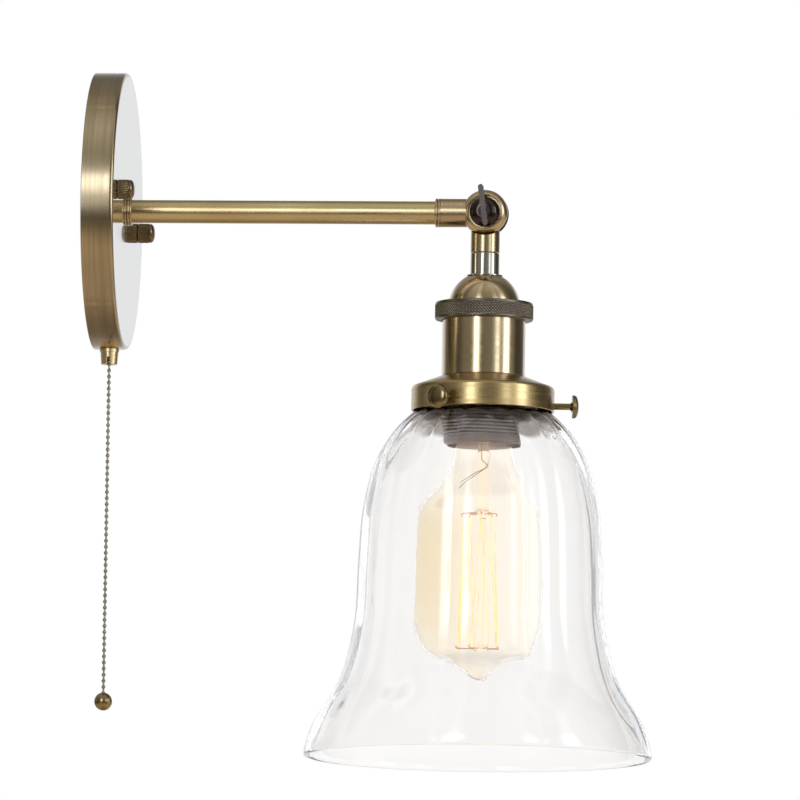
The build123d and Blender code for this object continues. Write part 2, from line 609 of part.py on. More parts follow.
nipple_top = STEM_UPPER_END - NIPPLE_GRIP
saddle_radius = BALL_DIA / 2 + LOOSE_GAP
with BuildPart() as knuckle_tongue:
    with BuildSketch(head_plane(STEM_UPPER_END)):
        Circle(STEM_DIA / 2)
    extrude(amount=STEM_UPPER_END - TONGUE_RADIUS)
    with Locations((KNUCKLE_X, 0, 0)):
        Sphere(saddle_radius, mode=Mode.SUBTRACT)
    with BuildSketch(head_section):
        Circle(TONGUE_RADIUS)
        with Locations((0, -STEM_UPPER_END / 2)):
            Rectangle(TONGUE_NECK_WIDTH, STEM_UPPER_END)
    extrude(amount=TONGUE_THICKNESS / 2, both=True)
    with BuildSketch(head_section):
        Circle(WING_SHANK_DIA / 2 + RUNNING_GAP)
    extrude(amount=TONGUE_THICKNESS, both=True, mode=Mode.SUBTRACT)
    with BuildSketch(head_plane(STEM_UPPER_END)):
        Circle(NIPPLE_DIA / 2 + RUNNING_GAP)
    extrude(amount=NIPPLE_GRIP + RUNNING_GAP, mode=Mode.SUBTRACT)
    foot_edges = knuckle_tongue.edges().filter_by(GeomType.CIRCLE).group_by(Axis.Z)[0]
    chamfer(foot_edges.sort_by(SortBy.RADIUS)[-1], STEM_CHAMFER)
    way_mouth = head_section.from_local_coords((-TONGUE_RADIUS, 0, 0))
    way_foot = head_section.from_local_coords((0, -nipple_top, 0))
    with BuildSketch(Plane(origin=way_mouth, x_dir=(0, 1, 0), z_dir=way_foot - way_mouth)):
        SlotOverall(WIRE_WAY_WIDTH, WIRE_WAY_HEIGHT, rotation=90)
    extrude(amount=(way_foot - way_mouth).length, mode=Mode.SUBTRACT)
save(knuckle_tongue, "knuckle_tongue")

# ---- Stem ---------------------------------------------------------------------------
collar_top = STEM_UPPER_END + STEM_GROOVE
collar_end = collar_top + STEM_COLLAR_LENGTH
dome_top = collar_end + STEM_WASHER_THICKNESS
with BuildPart() as stem_collar:
    with BuildSketch(head_plane(collar_end)):
        Circle(STEM_DIA / 2)
        Circle(NIPPLE_DIA / 2 + RUNNING_GAP, mode=Mode.SUBTRACT)
    extrude(amount=STEM_COLLAR_LENGTH)
    top_edges = stem_collar.edges().filter_by(GeomType.CIRCLE).group_by(Axis.Z)[-1]
    chamfer(top_edges.sort_by(SortBy.RADIUS)[-1], STEM_CHAMFER)
save(stem_collar, "stem_collar")

with BuildPart() as stem_washer:
    with BuildSketch(head_plane(dome_top)):
        Circle(STEM_WASHER_DIA / 2)
        Circle(NIPPLE_DIA / 2 + RUNNING_GAP, mode=Mode.SUBTRACT)
    extrude(amount=STEM_WASHER_THICKNESS)
save(stem_washer, "stem_washer")

nipple_end = dome_top + DOME_WALL + DOME_NUT_HEIGHT + DOME_WALL
with BuildPart() as stem_nipple:
    with BuildSketch(head_plane(nipple_end)):
        Circle(NIPPLE_DIA / 2)
        Circle(NIPPLE_BORE / 2, mode=Mode.SUBTRACT)
    extrude(amount=nipple_end - nipple_top)
save(stem_nipple, "stem_nipple")

# ---- Lamp holder: dome, knurled ring, body and threaded skirt -----------------------
# its radii, from the bulb's cap outwards
shell_bore_radius = BULB_CAP_DIA / 2 + SHELL_PLAY
insert_bore_radius = shell_bore_radius + SHELL_WALL + RUNNING_GAP
insert_tube_radius = insert_bore_radius + INSERT_TUBE_WALL
skirt_bore_radius = insert_tube_radius + RUNNING_GAP
spigot_radius = skirt_bore_radius + SKIRT_SPIGOT_WALL
holder_bore_radius = spigot_radius + RUNNING_GAP
holder_radius = holder_bore_radius + HOLDER_WALL
skirt_radius = holder_radius - SKIRT_STEP
flange_radius = holder_radius - DOME_STEP
dome_radius = flange_radius - DOME_FLANGE_REACH

dome_flat_angle = degrees(acos(DOME_FLAT_RADIUS / dome_radius))
dome_middle = dome_top + dome_radius * sin(radians(dome_flat_angle))
dome_inside_radius = dome_radius - DOME_WALL
dome_inside_angle = degrees(asin((dome_middle - dome_top - DOME_WALL) / dome_inside_radius))
holder_top = dome_middle + DOME_FLANGE_THICKNESS
holder_end = holder_top + HOLDER_LENGTH
nipple_hole_radius = NIPPLE_DIA / 2 + RUNNING_GAP
with BuildPart() as holder_cap:
    with BuildSketch(head_section):
        with BuildLine():
            outside = CenterArc((0, -dome_middle), dome_radius, 0, dome_flat_angle)
            inside = CenterArc((0, -dome_middle), dome_inside_radius, 0, dome_inside_angle)
            Polyline(
                outside @ 1,
                (nipple_hole_radius, -dome_top),
                (nipple_hole_radius, -dome_top - DOME_WALL),
                inside @ 1,
            )
            Polyline(
                inside @ 0,
                (dome_inside_radius, -holder_top),
                (flange_radius, -holder_top),
                (flange_radius, -dome_middle),
                outside @ 0,
            )
        make_face()
    revolve(axis=head_axis)
save(holder_cap, "holder_cap")

with BuildPart() as cap_lock_nut:
    with BuildSketch(head_plane(dome_top + DOME_WALL)):
        RegularPolygon(DOME_NUT_FLATS / 2, 6, major_radius=False)
        Circle(nipple_hole_radius, mode=Mode.SUBTRACT)
    extrude(amount=-DOME_NUT_HEIGHT)
save(cap_lock_nut, "cap_lock_nut")

ring_top = dome_middle - KNURLED_RING_LIP
with BuildPart() as knurled_ring:
    with BuildSketch(head_plane(ring_top)):
        Circle(holder_radius + KNURLED_RING_PROUD)
        Circle(dome_radius + LOOSE_GAP, mode=Mode.SUBTRACT)
    extrude(amount=-KNURLED_RING_HEIGHT)
    with BuildSketch(head_plane(dome_middle)):
        Circle(holder_radius + RUNNING_GAP)
    extrude(amount=-(KNURLED_RING_HEIGHT - KNURLED_RING_LIP), mode=Mode.SUBTRACT)
    top_edges = knurled_ring.edges().filter_by(GeomType.CIRCLE).group_by(Axis.Z)[-1]
    fillet(top_edges.sort_by(SortBy.RADIUS)[-1], KNURLED_RING_ROUND)
save(knurled_ring, "knurled_ring")

with BuildPart() as holder_body:
    with BuildSketch(head_plane(holder_end)):
        Circle(holder_radius)
        Circle(holder_bore_radius, mode=Mode.SUBTRACT)
    extrude(amount=HOLDER_LENGTH)
save(holder_body, "holder_body")

spigot_top = holder_end - SKIRT_SPIGOT
skirt_end = holder_end + SKIRT_LENGTH
thread_turns = int((SKIRT_LENGTH - 2 * SKIRT_LEAD) / SKIRT_THREAD_PITCH)
thread_profile = []
for turn in range(thread_turns):
    crest = holder_end + SKIRT_LEAD + turn * SKIRT_THREAD_PITCH
    thread_profile += [
        (skirt_radius, crest),
        (skirt_radius - SKIRT_THREAD_DEPTH, crest + SKIRT_THREAD_PITCH / 2),
    ]
with BuildPart() as threaded_skirt:
    with BuildSketch(head_section):
        with BuildLine():
            Polyline(
                *below([
                    (skirt_bore_radius, spigot_top),
                    (spigot_radius, spigot_top),
                    (spigot_radius, holder_end),
                    (skirt_radius, holder_end),
                    *thread_profile,
                    (skirt_radius, skirt_end - SKIRT_BEVEL),
                    (skirt_radius - SKIRT_BEVEL, skirt_end),
                    (skirt_bore_radius, skirt_end),
                ]),
                close=True,
            )
        make_face()
    revolve(axis=head_axis)
save(threaded_skirt, "threaded_skirt")

# ---- Socket in the holder -----------------------------------------------------------
insert_top = spigot_top - INSERT_THICKNESS
with BuildPart() as socket_insert:
    with BuildSketch(head_section):
        with BuildLine():
            Polyline(
                *below([
                    (0, insert_top),
                    (spigot_radius, insert_top),
                    (spigot_radius, spigot_top),
                    (insert_tube_radius, spigot_top),
                    (insert_tube_radius, spigot_top + INSERT_TUBE_LENGTH),
                    (insert_bore_radius, spigot_top + INSERT_TUBE_LENGTH),
                    (insert_bore_radius, spigot_top),
                    (0, spigot_top),
                ]),
                close=True,
            )
        make_face()
    revolve(axis=head_axis)
save(socket_insert, "socket_insert")

with BuildPart() as screw_shell:
    with BuildSketch(head_plane(spigot_top)):
        Circle(shell_bore_radius + SHELL_WALL)
        Circle(shell_bore_radius, mode=Mode.SUBTRACT)
    extrude(amount=-SHELL_LENGTH)
save(screw_shell, "screw_shell")

with BuildPart() as centre_contact:
    with BuildSketch(head_plane(spigot_top)):
        Circle(CONTACT_DIA / 2)
    extrude(amount=-CONTACT_HEIGHT)
    fillet(centre_contact.edges().group_by(Axis.Z)[0], CONTACT_HEIGHT / 2)
save(centre_contact, "centre_contact")

with BuildPart() as socket_screws:
    with BuildSketch(head_plane(insert_top)):
        with GridLocations(SOCKET_SCREW_SPACING, 0, 2, 1):
            Circle(SOCKET_SCREW_DIA / 2)
    extrude(amount=SOCKET_SCREW_HEIGHT)
    with BuildSketch(head_plane(insert_top - SOCKET_SCREW_HEIGHT)):
        with GridLocations(SOCKET_SCREW_SPACING, 0, 2, 1):
            Rectangle(SOCKET_SCREW_DIA, SOCKET_SCREW_DIA / 6)
    extrude(amount=-SOCKET_SCREW_HEIGHT / 2, mode=Mode.SUBTRACT)
save(socket_screws, "socket_screws")

for lead_name, lead_side in (("head_neutral_wire", -1), ("head_switched_wire", 1)):
    lead_x = KNUCKLE_X + lead_side * WIRE_SPREAD
    lug_x = KNUCKLE_X + lead_side * SOCKET_SCREW_SPACING / 4
    wire(
        lead_name,
        (lead_x, 0, -nipple_top - WIRE_DIA),
        (lead_x, 0, -nipple_end - WIRE_BEND / 2),
        (lug_x, 0, -(nipple_end + insert_top) / 2),
        (lug_x, 0, -insert_top),
    )

# ---- Shade carrier and the ring that clamps it --------------------------------------
def screw_plane(number, reach):
    """A plane across one thumb screw, this far out from the shade's axis."""
    turn = radians(SHADE_SCREW_TURN + number * 360 / SHADE_SCREW_COUNT)
    way = Vector(cos(turn), sin(turn), 0)
    return Plane(origin=Vector(KNUCKLE_X, 0, -SHADE_SCREW_DROP) + way * reach, z_dir=way)


gallery_radius = GALLERY_DIA / 2
gallery_hole_radius = skirt_radius + RUNNING_GAP
gallery_end = holder_end + GALLERY_DROP
shoulder_end = holder_end + GALLERY_SHOULDER_DROP
with BuildPart() as gallery:
    with BuildSketch(head_section):
        with BuildLine():
            carrier = FilletPolyline(
                *below([
                    (gallery_hole_radius, holder_end),
                    (holder_radius, holder_end),
                    (gallery_radius, shoulder_end - GALLERY_CORNER),
                    (gallery_radius, gallery_end),
                ]),
                radius=GALLERY_WALL + GALLERY_CORNER,
            )
            offset(carrier, amount=GALLERY_WALL, side=Side.RIGHT)
        make_face()
    revolve(axis=head_axis)
    for screw in range(SHADE_SCREW_COUNT):
        with BuildSketch(screw_plane(screw, 0)):
            Circle(SHADE_SCREW_DIA / 2 + RUNNING_GAP)
        extrude(amount=GALLERY_DIA, mode=Mode.SUBTRACT)
save(gallery, "gallery")

cone_rate = (shoulder_end - GALLERY_CORNER - holder_end) / (gallery_radius - holder_radius)
ring_seat = holder_end + GALLERY_WALL + LOOSE_GAP
ring_cone_end = SHADE_RING_DIA / 2
ring_cone_drop = ring_seat + SHADE_RING_CONE
with BuildPart() as shade_ring:
    with BuildSketch(head_section):
        with BuildLine():
            Polyline(
                *below([
                    (gallery_hole_radius, ring_seat),
                    (holder_radius - GALLERY_WALL / 2, ring_seat),
                    (ring_cone_end, ring_cone_drop),
                    (ring_cone_end, ring_seat + SHADE_RING_HEIGHT),
                    (gallery_hole_radius, ring_seat + SHADE_RING_HEIGHT),
                ]),
                close=True,
            )
        make_face()
    revolve(axis=head_axis)
save(shade_ring, "shade_ring")

# ---- Glass bell ---------------------------------------------------------------------
lip_radius = gallery_radius - GALLERY_WALL - GLASS_LIP_PLAY
neck_radius = lip_radius - GLASS_LIP_PROUD
lip_top = holder_end + GALLERY_WALL + LOOSE_GAP + cone_rate * (lip_radius - holder_radius)
lip_end = lip_top + GLASS_LIP_HEIGHT
neck_end = SHADE_SCREW_DROP + SHADE_SCREW_DIA / 2


def inner_skin(outline, share):
    """The point of the glass wall's inner face, at this share of its outline's length."""
    along = outline % share
    return outline @ share + Vector(along.Y, -along.X) * GLASS_WALL


with BuildPart() as glass_shade:
    with BuildSketch(head_section):
        with BuildLine():
            neck = Polyline(
                *below([
                    (neck_radius - GLASS_WALL, lip_top),
                    (lip_radius, lip_top),
                    (lip_radius, lip_end),
                    (neck_radius, lip_end),
                    (neck_radius, neck_end),
                ])
            )
            shoulder = (neck_radius + SHOULDER_STEP, SHOULDER_DROP)
            outside = Spline(neck @ 1, *below([shoulder, *BELL_OUTLINE]), tangents=[(0, -1), (0, -1)])
            inside = Spline(*[inner_skin(outside, step / BELL_STEPS) for step in range(BELL_STEPS + 1)])
            rim_middle = (outside @ 1 + inside @ 1) / 2
            ThreePointArc(outside @ 1, rim_middle - Vector(0, GLASS_WALL / 2), inside @ 1)
            Line(inside @ 0, neck @ 0)
        make_face()
    revolve(axis=head_axis)
save(glass_shade, "glass_shade")


def shade_screw(number):
    """A thumb screw through the gallery, up to the glass neck; number starts at 0."""
    tip = neck_radius + LOOSE_GAP
    head_back = gallery_radius + SHADE_SCREW_STANDOFF
    with BuildPart() as piece:
        with BuildSketch(screw_plane(number, tip)):
            Circle(SHADE_SCREW_DIA / 2)
        extrude(amount=head_back - tip)
        with BuildSketch(screw_plane(number, head_back)):
            Circle(SHADE_SCREW_HEAD_DIA / 2)
        extrude(amount=SHADE_SCREW_HEAD_HEIGHT)
        outward = Axis((KNUCKLE_X, 0, 0), screw_plane(number, 0).z_dir)
        rim = piece.edges().group_by(outward)[-1]
        fillet(rim, SHADE_SCREW_HEAD_HEIGHT - SHADE_SCREW_HEAD_EDGE)
    return piece


for screw in range(SHADE_SCREW_COUNT):
    save(shade_screw(screw), f"shade_screw_{screw + 1}")

# ---- Bulb ---------------------------------------------------------------------------
cap_radius = BULB_CAP_DIA / 2
cap_thread_end = BULB_CAP_TOP + BULB_THREAD_TURNS * BULB_THREAD_PITCH
cap_end = cap_thread_end + BULB_CAP_SKIRT
cap_bore_radius = cap_radius - BULB_THREAD_DEPTH - BULB_CAP_WALL
cap_thread = []
for turn in range(BULB_THREAD_TURNS):
    root = BULB_CAP_TOP + turn * BULB_THREAD_PITCH
    cap_thread += [
        (cap_radius - BULB_THREAD_DEPTH, root),
        (cap_radius, root + BULB_THREAD_PITCH / 2),
    ]
with BuildPart() as bulb_base:
    with BuildSketch(head_section):
        with BuildLine():
            Polyline(
                *below([
                    (cap_bore_radius, BULB_CAP_TOP),
                    *cap_thread,
                    (cap_radius - BULB_THREAD_DEPTH, cap_thread_end),
                    (cap_radius, cap_end),
                    (cap_bore_radius, cap_end),
                ]),
                close=True,
            )
        make_face()
    revolve(axis=head_axis)
save(bulb_base, "bulb_base")

contact_seat = BULB_CAP_TOP - BULB_INSULATOR_HEIGHT
with BuildPart() as bulb_insulator:
    with BuildSketch(head_plane(BULB_CAP_TOP)):
        Circle(cap_bore_radius)
    with BuildSketch(head_plane(contact_seat)):
        Circle(BULB_CONTACT_DIA / 2)
    loft()
save(bulb_insulator, "bulb_insulator")

with BuildPart() as bulb_contact:
    with BuildSketch(head_plane(contact_seat)):
        Circle(BULB_CONTACT_DIA / 2)
    extrude(amount=BULB_CONTACT_HEIGHT)
    fillet(bulb_contact.edges().group_by(Axis.Z)[-1], BULB_CONTACT_HEIGHT / 2)
save(bulb_contact, "bulb_contact")

bulb_neck_radius = BULB_NECK_DIA / 2
glass_top = cap_end - BULB_NECK_IN_CAP
bulb_inner_neck = cap_bore_radius - RUNNING_GAP
with BuildPart() as bulb_glass:
    with BuildSketch(head_section):
        with BuildLine():
            throat = Polyline(
                *below([
                    (bulb_inner_neck, glass_top),
                    (bulb_inner_neck, cap_end + LOOSE_GAP),
                    (bulb_neck_radius, cap_end + 2 * LOOSE_GAP),
                ])
            )
            envelope = Spline(
                throat @ 1,
                *below(BULB_OUTLINE),
                tangents=[(0, -1), (-1, -0.25)],
            )
            tip = Spline(
                envelope @ 1,
                *below([(BULB_TIP_DIA / 2, BULB_TIP_DROP - BULB_TIP_DIA / 2), (0, BULB_TIP_DROP)]),
                tangents=[envelope % 1, (-1, 0)],
            )
            Polyline(tip @ 1, (0, -glass_top), throat @ 0)
        make_face()
    revolve(axis=head_axis)
    mouth = bulb_glass.faces().sort_by(Axis.Z)[-1]
    offset(amount=-BULB_GLASS_WALL, openings=mouth)
save(bulb_glass, "bulb_glass")

flare_radius = bulb_inner_neck - BULB_GLASS_WALL - LOOSE_GAP
button_end = MOUNT_BUTTON_DROP + MOUNT_BUTTON_HEIGHT
foot_end = FOOT_BUTTON_DROP + MOUNT_BUTTON_HEIGHT
with BuildPart() as bulb_stem:
    with BuildSketch(head_section):
        with BuildLine():
            Polyline(
                *below([
                    (0, glass_top),
                    (flare_radius, glass_top),
                    (MOUNT_ROD_DIA / 2, glass_top + MOUNT_FLARE_LENGTH),
                    (MOUNT_ROD_DIA / 2, MOUNT_BUTTON_DROP),
                    (MOUNT_BUTTON_DIA / 2, MOUNT_BUTTON_DROP),
                    (MOUNT_BUTTON_DIA / 2, button_end),
                    (SPINE_DIA / 2, button_end),
                    (SPINE_DIA / 2, FOOT_BUTTON_DROP),
                    (MOUNT_BUTTON_DIA / 2, FOOT_BUTTON_DROP),
                    (MOUNT_BUTTON_DIA / 2, foot_end),
                    (0, foot_end),
                ]),
                close=True,
            )
        make_face()
    revolve(axis=head_axis)
save(bulb_stem, "bulb_stem")


def spoke_spot(drop, reach, step):
    """The point at this drop and reach whose direction is step steps round the bulb."""
    turn = 2 * pi * step / HOOK_COUNT
    return Vector(KNUCKLE_X + reach * cos(turn), reach * sin(turn), -drop)


hook_top_drop = MOUNT_BUTTON_DROP + MOUNT_BUTTON_HEIGHT / 2
hook_foot_drop = FOOT_BUTTON_DROP + MOUNT_BUTTON_HEIGHT / 2
with BuildPart() as bulb_supports:
    for hook in range(HOOK_COUNT):
        for drop, reach, step in (
            (hook_top_drop, HOOK_TOP_REACH, hook),
            (hook_foot_drop, HOOK_FOOT_REACH, hook + 0.5),
        ):
            start = spoke_spot(drop, MOUNT_BUTTON_DIA / 2, step)
            outward = spoke_spot(drop, reach, step) - start
            with BuildSketch(Plane(origin=start, z_dir=outward)):
                Circle(HOOK_WIRE_DIA / 2)
            extrude(amount=outward.length)
save(bulb_supports, "bulb_supports")

wire_seat = (HOOK_WIRE_DIA + FILAMENT_DIA) / 2 + FILAMENT_DIA / 4
with BuildPart() as bulb_filament:
    for strand in range(2 * HOOK_COUNT):
        top = spoke_spot(hook_top_drop + wire_seat, HOOK_TOP_REACH, (strand + 1) // 2)
        foot = spoke_spot(hook_foot_drop - wire_seat, HOOK_FOOT_REACH, strand // 2 + 0.5)
        with BuildSketch(Plane(origin=top, z_dir=foot - top)):
            Circle(FILAMENT_DIA / 2)
        extrude(amount=(foot - top).length)
save(bulb_filament, "bulb_filament")
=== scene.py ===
"""Wall sconce with a clear bell shade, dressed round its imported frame.

A round brushed canopy, a straight arm, a clamped knuckle, a lamp holder with a knurled
ring, a fluted glass bell with a lit squirrel cage bulb, and a bead chain. Metres, in the
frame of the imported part: +X leads out of the wall along the arm and +Z points up.
Outlines are written in millimetres, as (radius, height) pairs.
"""
import math

import bmesh
import bpy
from mathutils import Matrix, Vector


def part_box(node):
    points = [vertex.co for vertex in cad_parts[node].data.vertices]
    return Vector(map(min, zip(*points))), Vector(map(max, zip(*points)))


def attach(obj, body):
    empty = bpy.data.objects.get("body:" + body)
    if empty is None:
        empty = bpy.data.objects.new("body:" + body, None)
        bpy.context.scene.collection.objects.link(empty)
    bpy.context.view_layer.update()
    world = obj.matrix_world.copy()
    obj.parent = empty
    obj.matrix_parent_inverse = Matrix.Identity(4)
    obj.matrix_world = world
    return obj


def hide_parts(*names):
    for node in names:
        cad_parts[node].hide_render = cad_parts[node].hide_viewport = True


bl_info = {
    "name": "Bell shade wall sconce",
    "version": (1, 0, 0),
    "blender": (4, 5, 0),
    "location": "3D View > Sidebar > Sconce",
    "description": "Builds the sconce, its finishes and its studio round the packed part",
    "category": "Object",
}

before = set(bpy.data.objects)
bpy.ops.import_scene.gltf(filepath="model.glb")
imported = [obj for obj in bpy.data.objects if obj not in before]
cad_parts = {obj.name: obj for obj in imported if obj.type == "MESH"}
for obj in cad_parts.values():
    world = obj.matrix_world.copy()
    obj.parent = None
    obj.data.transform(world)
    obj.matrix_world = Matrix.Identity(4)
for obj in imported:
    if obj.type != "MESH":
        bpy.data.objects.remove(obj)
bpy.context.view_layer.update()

MM = 0.001
TURN = 2 * math.pi
QUARTER = TURN / 4
SMOOTH_ANGLE = math.radians(32)
TOUCH = 0.01  # how near a point is to a wall that it counts as on it
AXIS = 1e-6  # a radius below this is a point on the axis

# Points of a turned ring that draw one flute, one tooth of the knurl, one tooth of a cap nut.
FLUTE_POINTS, KNURL_POINTS, NUT_POINTS = 20, 8, 12

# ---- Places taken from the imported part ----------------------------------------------


def span(name):
    """A node's lowest and highest corners, in millimetres."""
    low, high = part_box(name)
    return Vector(low) / MM, Vector(high) / MM


def turned_span(name):
    """A turned node's lowest and highest corners and its radius, in millimetres."""
    low, high = span(name)
    return low, high, (high.y - low.y) / 2


def middle(name):
    """The middle of a node's box, in millimetres."""
    low, high = span(name)
    return (low + high) / 2


def seat(x, y, z, turn=None):
    """A place in metres from millimetres, with a turn before it."""
    place = Matrix.Translation(Vector((x, y, z)) * MM)
    return place @ turn if turn else place


ALONG_ARM = Matrix.Rotation(QUARTER, 4, "Y")
knuckle_x = middle("knurled_ring").x
on_head = seat(knuckle_x, 0, 0)
on_arm = seat(0, 0, 0, ALONG_ARM)

# ---- Sizes and colours that a user may change ---------------------------------------


def linear(colour):
    """A linear RGBA colour from an sRGB hex value. A colour that is linear already stays."""
    if not isinstance(colour, str):
        return colour
    channels = [int(colour[i : i + 2], 16) / 255 for i in (1, 3, 5)]
    return [c / 12.92 if c <= 0.04045 else ((c + 0.055) / 1.055) ** 2.4 for c in channels] + [1.0]


def colour_setting(name, hex_colour, description):
    """A colour that the panel shows."""
    return bpy.props.FloatVectorProperty(
        name=name, description=description, subtype="COLOR", size=4, min=0, max=1,
        default=linear(hex_colour),
    )


def length_setting(name, millimetres, description):
    """A length that the panel shows."""
    return bpy.props.FloatProperty(
        name=name, description=description, default=millimetres * MM, subtype="DISTANCE",
        unit="LENGTH", min=0, precision=5,
    )


def count_setting(name, count, least, most, description):
    """A number of things that the panel shows."""
    return bpy.props.IntProperty(
        name=name, description=description, default=count, min=least, max=most
    )


class SconceShapes(bpy.types.PropertyGroup):
    """Sizes of what repeats on the sconce."""

    flute_count: count_setting("Flutes", 20, 6, 48, "Panels round the glass bell")
    flute_depth: length_setting("Flute depth", 0.75, "How deep the creases between the panels are")
    knurl_count: count_setting("Knurl teeth", 100, 24, 240, "Teeth round the knurled ring")
    knurl_depth: length_setting("Knurl depth", 0.48, "Depth of the diamond knurl")
    nut_teeth: count_setting("Cap nut teeth", 24, 8, 64, "Straight teeth round each cap nut")
    bead_pitch: length_setting("Bead pitch", 2.63, "From one bead of the chain to the next")
    bead_width: length_setting("Bead width", 1.75, "Width of one bead of the chain")


class SconceColours(bpy.types.PropertyGroup):
    """Colours of the sconce's finishes."""

    antique_brass: colour_setting("Antique brass", "#CBB286", "Brass of the canopy and the holder")
    arm_brass: colour_setting("Arm brass", "#DCC894", "Drawn tube of the arm")
    satin_brass: colour_setting("Satin brass", "#C0A66E", "Carrier of the glass")
    bright_brass: colour_setting("Bright brass", "#F0D6A2", "Bushing of the chain")
    dark_bronze: colour_setting("Dark bronze", "#776C5C", "Knurled ring")
    shade_glass: colour_setting("Shade glass", "#FDFCFB", "Clear glass of the bell")
    bulb_glass: colour_setting("Bulb glass", "#FFFCF5", "Amber lacquer of the bulb")
    filament: colour_setting("Filament", "#FF9A48", "Light of the filament")


# ---- Outlines -----------------------------------------------------------------------


def rounded(points, steps=4):
    """Corners of an outline with arcs: a point may carry its radius as a third value."""
    outline = []
    count = len(points)
    for i, point in enumerate(points):
        here = Vector(point[:2])
        if len(point) < 3:
            outline.append(tuple(here))
            continue
        before = Vector(points[i - 1][:2]) - here
        after = Vector(points[(i + 1) % count][:2]) - here
        half = before.angle(after) / 2
        reach = min(point[2] / math.tan(half), 0.48 * before.length, 0.48 * after.length)
        start = here + before.normalized() * reach
        end = here + after.normalized() * reach
        for step in range(steps + 1):
            t = step / steps
            spot = start * (1 - t) ** 2 + here * 2 * t * (1 - t) + end * t ** 2
            outline.append(tuple(spot))
    return outline


def arc(centre, radii, start, end, steps):
    """Points on an ellipse round a centre, from one angle to another."""
    return [
        (centre[0] + radii[0] * math.cos(angle), centre[1] + radii[1] * math.sin(angle))
        for angle in (start + (end - start) * step / steps for step in range(steps + 1))
    ]


def fair_curve(points, steps, start_way, end_way):
    """A smooth line through points, steps to a span, with set directions at its ends."""
    spots = [Vector(p) for p in points]
    ways = [Vector(start_way)]
    for before, spot, after in zip(spots, spots[1:], spots[2:]):
        back, ahead = spot - before, after - spot
        total = back.length + ahead.length
        ways.append(
            back / back.length * (ahead.length / total)
            + ahead / ahead.length * (back.length / total)
        )
    ways.append(Vector(end_way))
    line = [tuple(spots[0])]
    for i in range(len(spots) - 1):
        reach = (spots[i + 1] - spots[i]).length
        for step in range(1, steps + 1):
            t = step / steps
            spot = (
                spots[i] * (2 * t ** 3 - 3 * t ** 2 + 1)
                + ways[i] * reach * (t ** 3 - 2 * t ** 2 + t)
                + spots[i + 1] * (3 * t ** 2 - 2 * t ** 3)
                + ways[i + 1] * reach * (t ** 3 - t ** 2)
            )
            line.append(tuple(spot))
    return line


def inset(line, wall):
    """The line moved inwards by a wall's thickness, where it runs down the outside."""
    moved = []
    for i, spot in enumerate(line):
        before = Vector(line[max(i - 1, 0)])
        after = Vector(line[min(i + 1, len(line) - 1)])
        way = (after - before).normalized()
        moved.append((spot[0] + way.y * wall, spot[1] - way.x * wall))
    return moved


# ---- Mesh helpers -------------------------------------------------------------------


def new_object(name, mesh):
    """An object that shows a mesh."""
    piece = bpy.data.objects.new(name, mesh)
    bpy.context.scene.collection.objects.link(piece)
    return piece


def object_from(name, shell):
    """An object from a bmesh, which is freed."""
    mesh = bpy.data.meshes.new(name)
    shell.to_mesh(mesh)
    shell.free()
    return new_object(name, mesh)


def lathe(name, outline, turns=128, mask=None):
    """A closed outline turned about Z.

    mask(radius, height) gives how far a pattern of ridges may cut in there.
    """
    shell = bmesh.new()
    ridge_layer = shell.verts.layers.float.new("ridge_mask") if mask else None
    rings = []
    for radius, height in outline:
        if radius < AXIS:
            ring = [shell.verts.new((0, 0, height * MM))]
        else:
            ring = [
                shell.verts.new(Vector((radius * math.cos(a), radius * math.sin(a), height)) * MM)
                for a in (TURN * turn / turns for turn in range(turns))
            ]
        rings.append(ring)
        if mask:
            for vert in ring:
                vert[ridge_layer] = mask(radius, height)
    for ring, following in zip(rings, rings[1:] + rings[:1]):
        if len(ring) == 1 and len(following) == 1:
            continue
        for turn in range(turns):
            ahead = (turn + 1) % turns
            corners = [ring[turn % len(ring)], ring[ahead % len(ring)]]
            corners += [following[ahead % len(following)], following[turn % len(following)]]
            shell.faces.new(dict.fromkeys(corners))
    bmesh.ops.recalc_face_normals(shell, faces=shell.faces)
    return object_from(name, shell)


def on_wall(radius, foot, top):
    """A mask that is full on a wall of one radius between two heights, and nothing elsewhere."""
    return lambda r, z: float(abs(r - radius) < TOUCH and foot < z < top)


def wall_rows(radius, top, foot, rows):
    """A straight wall as rows of points, which a pattern of ridges can bend."""
    return [(radius, top + (foot - top) * row / rows) for row in range(rows + 1)]


def merged_copy(name, node_name):
    """A CAD node's shape as one joined mesh with flat areas as single faces."""
    shell = bmesh.new()
    shell.from_mesh(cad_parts[node_name].data)
    bmesh.ops.remove_doubles(shell, verts=shell.verts, dist=2e-6)
    bmesh.ops.dissolve_limit(
        shell, angle_limit=math.radians(0.6), verts=shell.verts, edges=shell.edges,
        use_dissolve_boundaries=False,
    )
    return object_from(name, shell)


def keep_result(piece):
    """Turn a piece's modifiers into its mesh."""
    graph = bpy.context.evaluated_depsgraph_get()
    mesh = bpy.data.meshes.new_from_object(
        piece.evaluated_get(graph), preserve_all_data_layers=True, depsgraph=graph
    )
    mesh.name = piece.name
    piece.modifiers.clear()
    piece.data = mesh
    return piece


def settle(piece, edge=0.0):
    """Soften the edges, smooth the shading and keep the result as a plain mesh."""
    mesh = piece.data
    mesh.shade_smooth()
    mesh.set_sharp_from_angle(angle=SMOOTH_ANGLE)
    if edge:
        bevel = piece.modifiers.new("Edges", "BEVEL")
        bevel.width = edge * MM
        bevel.segments = 3
        bevel.limit_method = "ANGLE"
        bevel.angle_limit = SMOOTH_ANGLE
        bevel.harden_normals = True
    weighted = piece.modifiers.new("Shading", "WEIGHTED_NORMAL")
    weighted.keep_sharp = True
    return keep_result(piece)


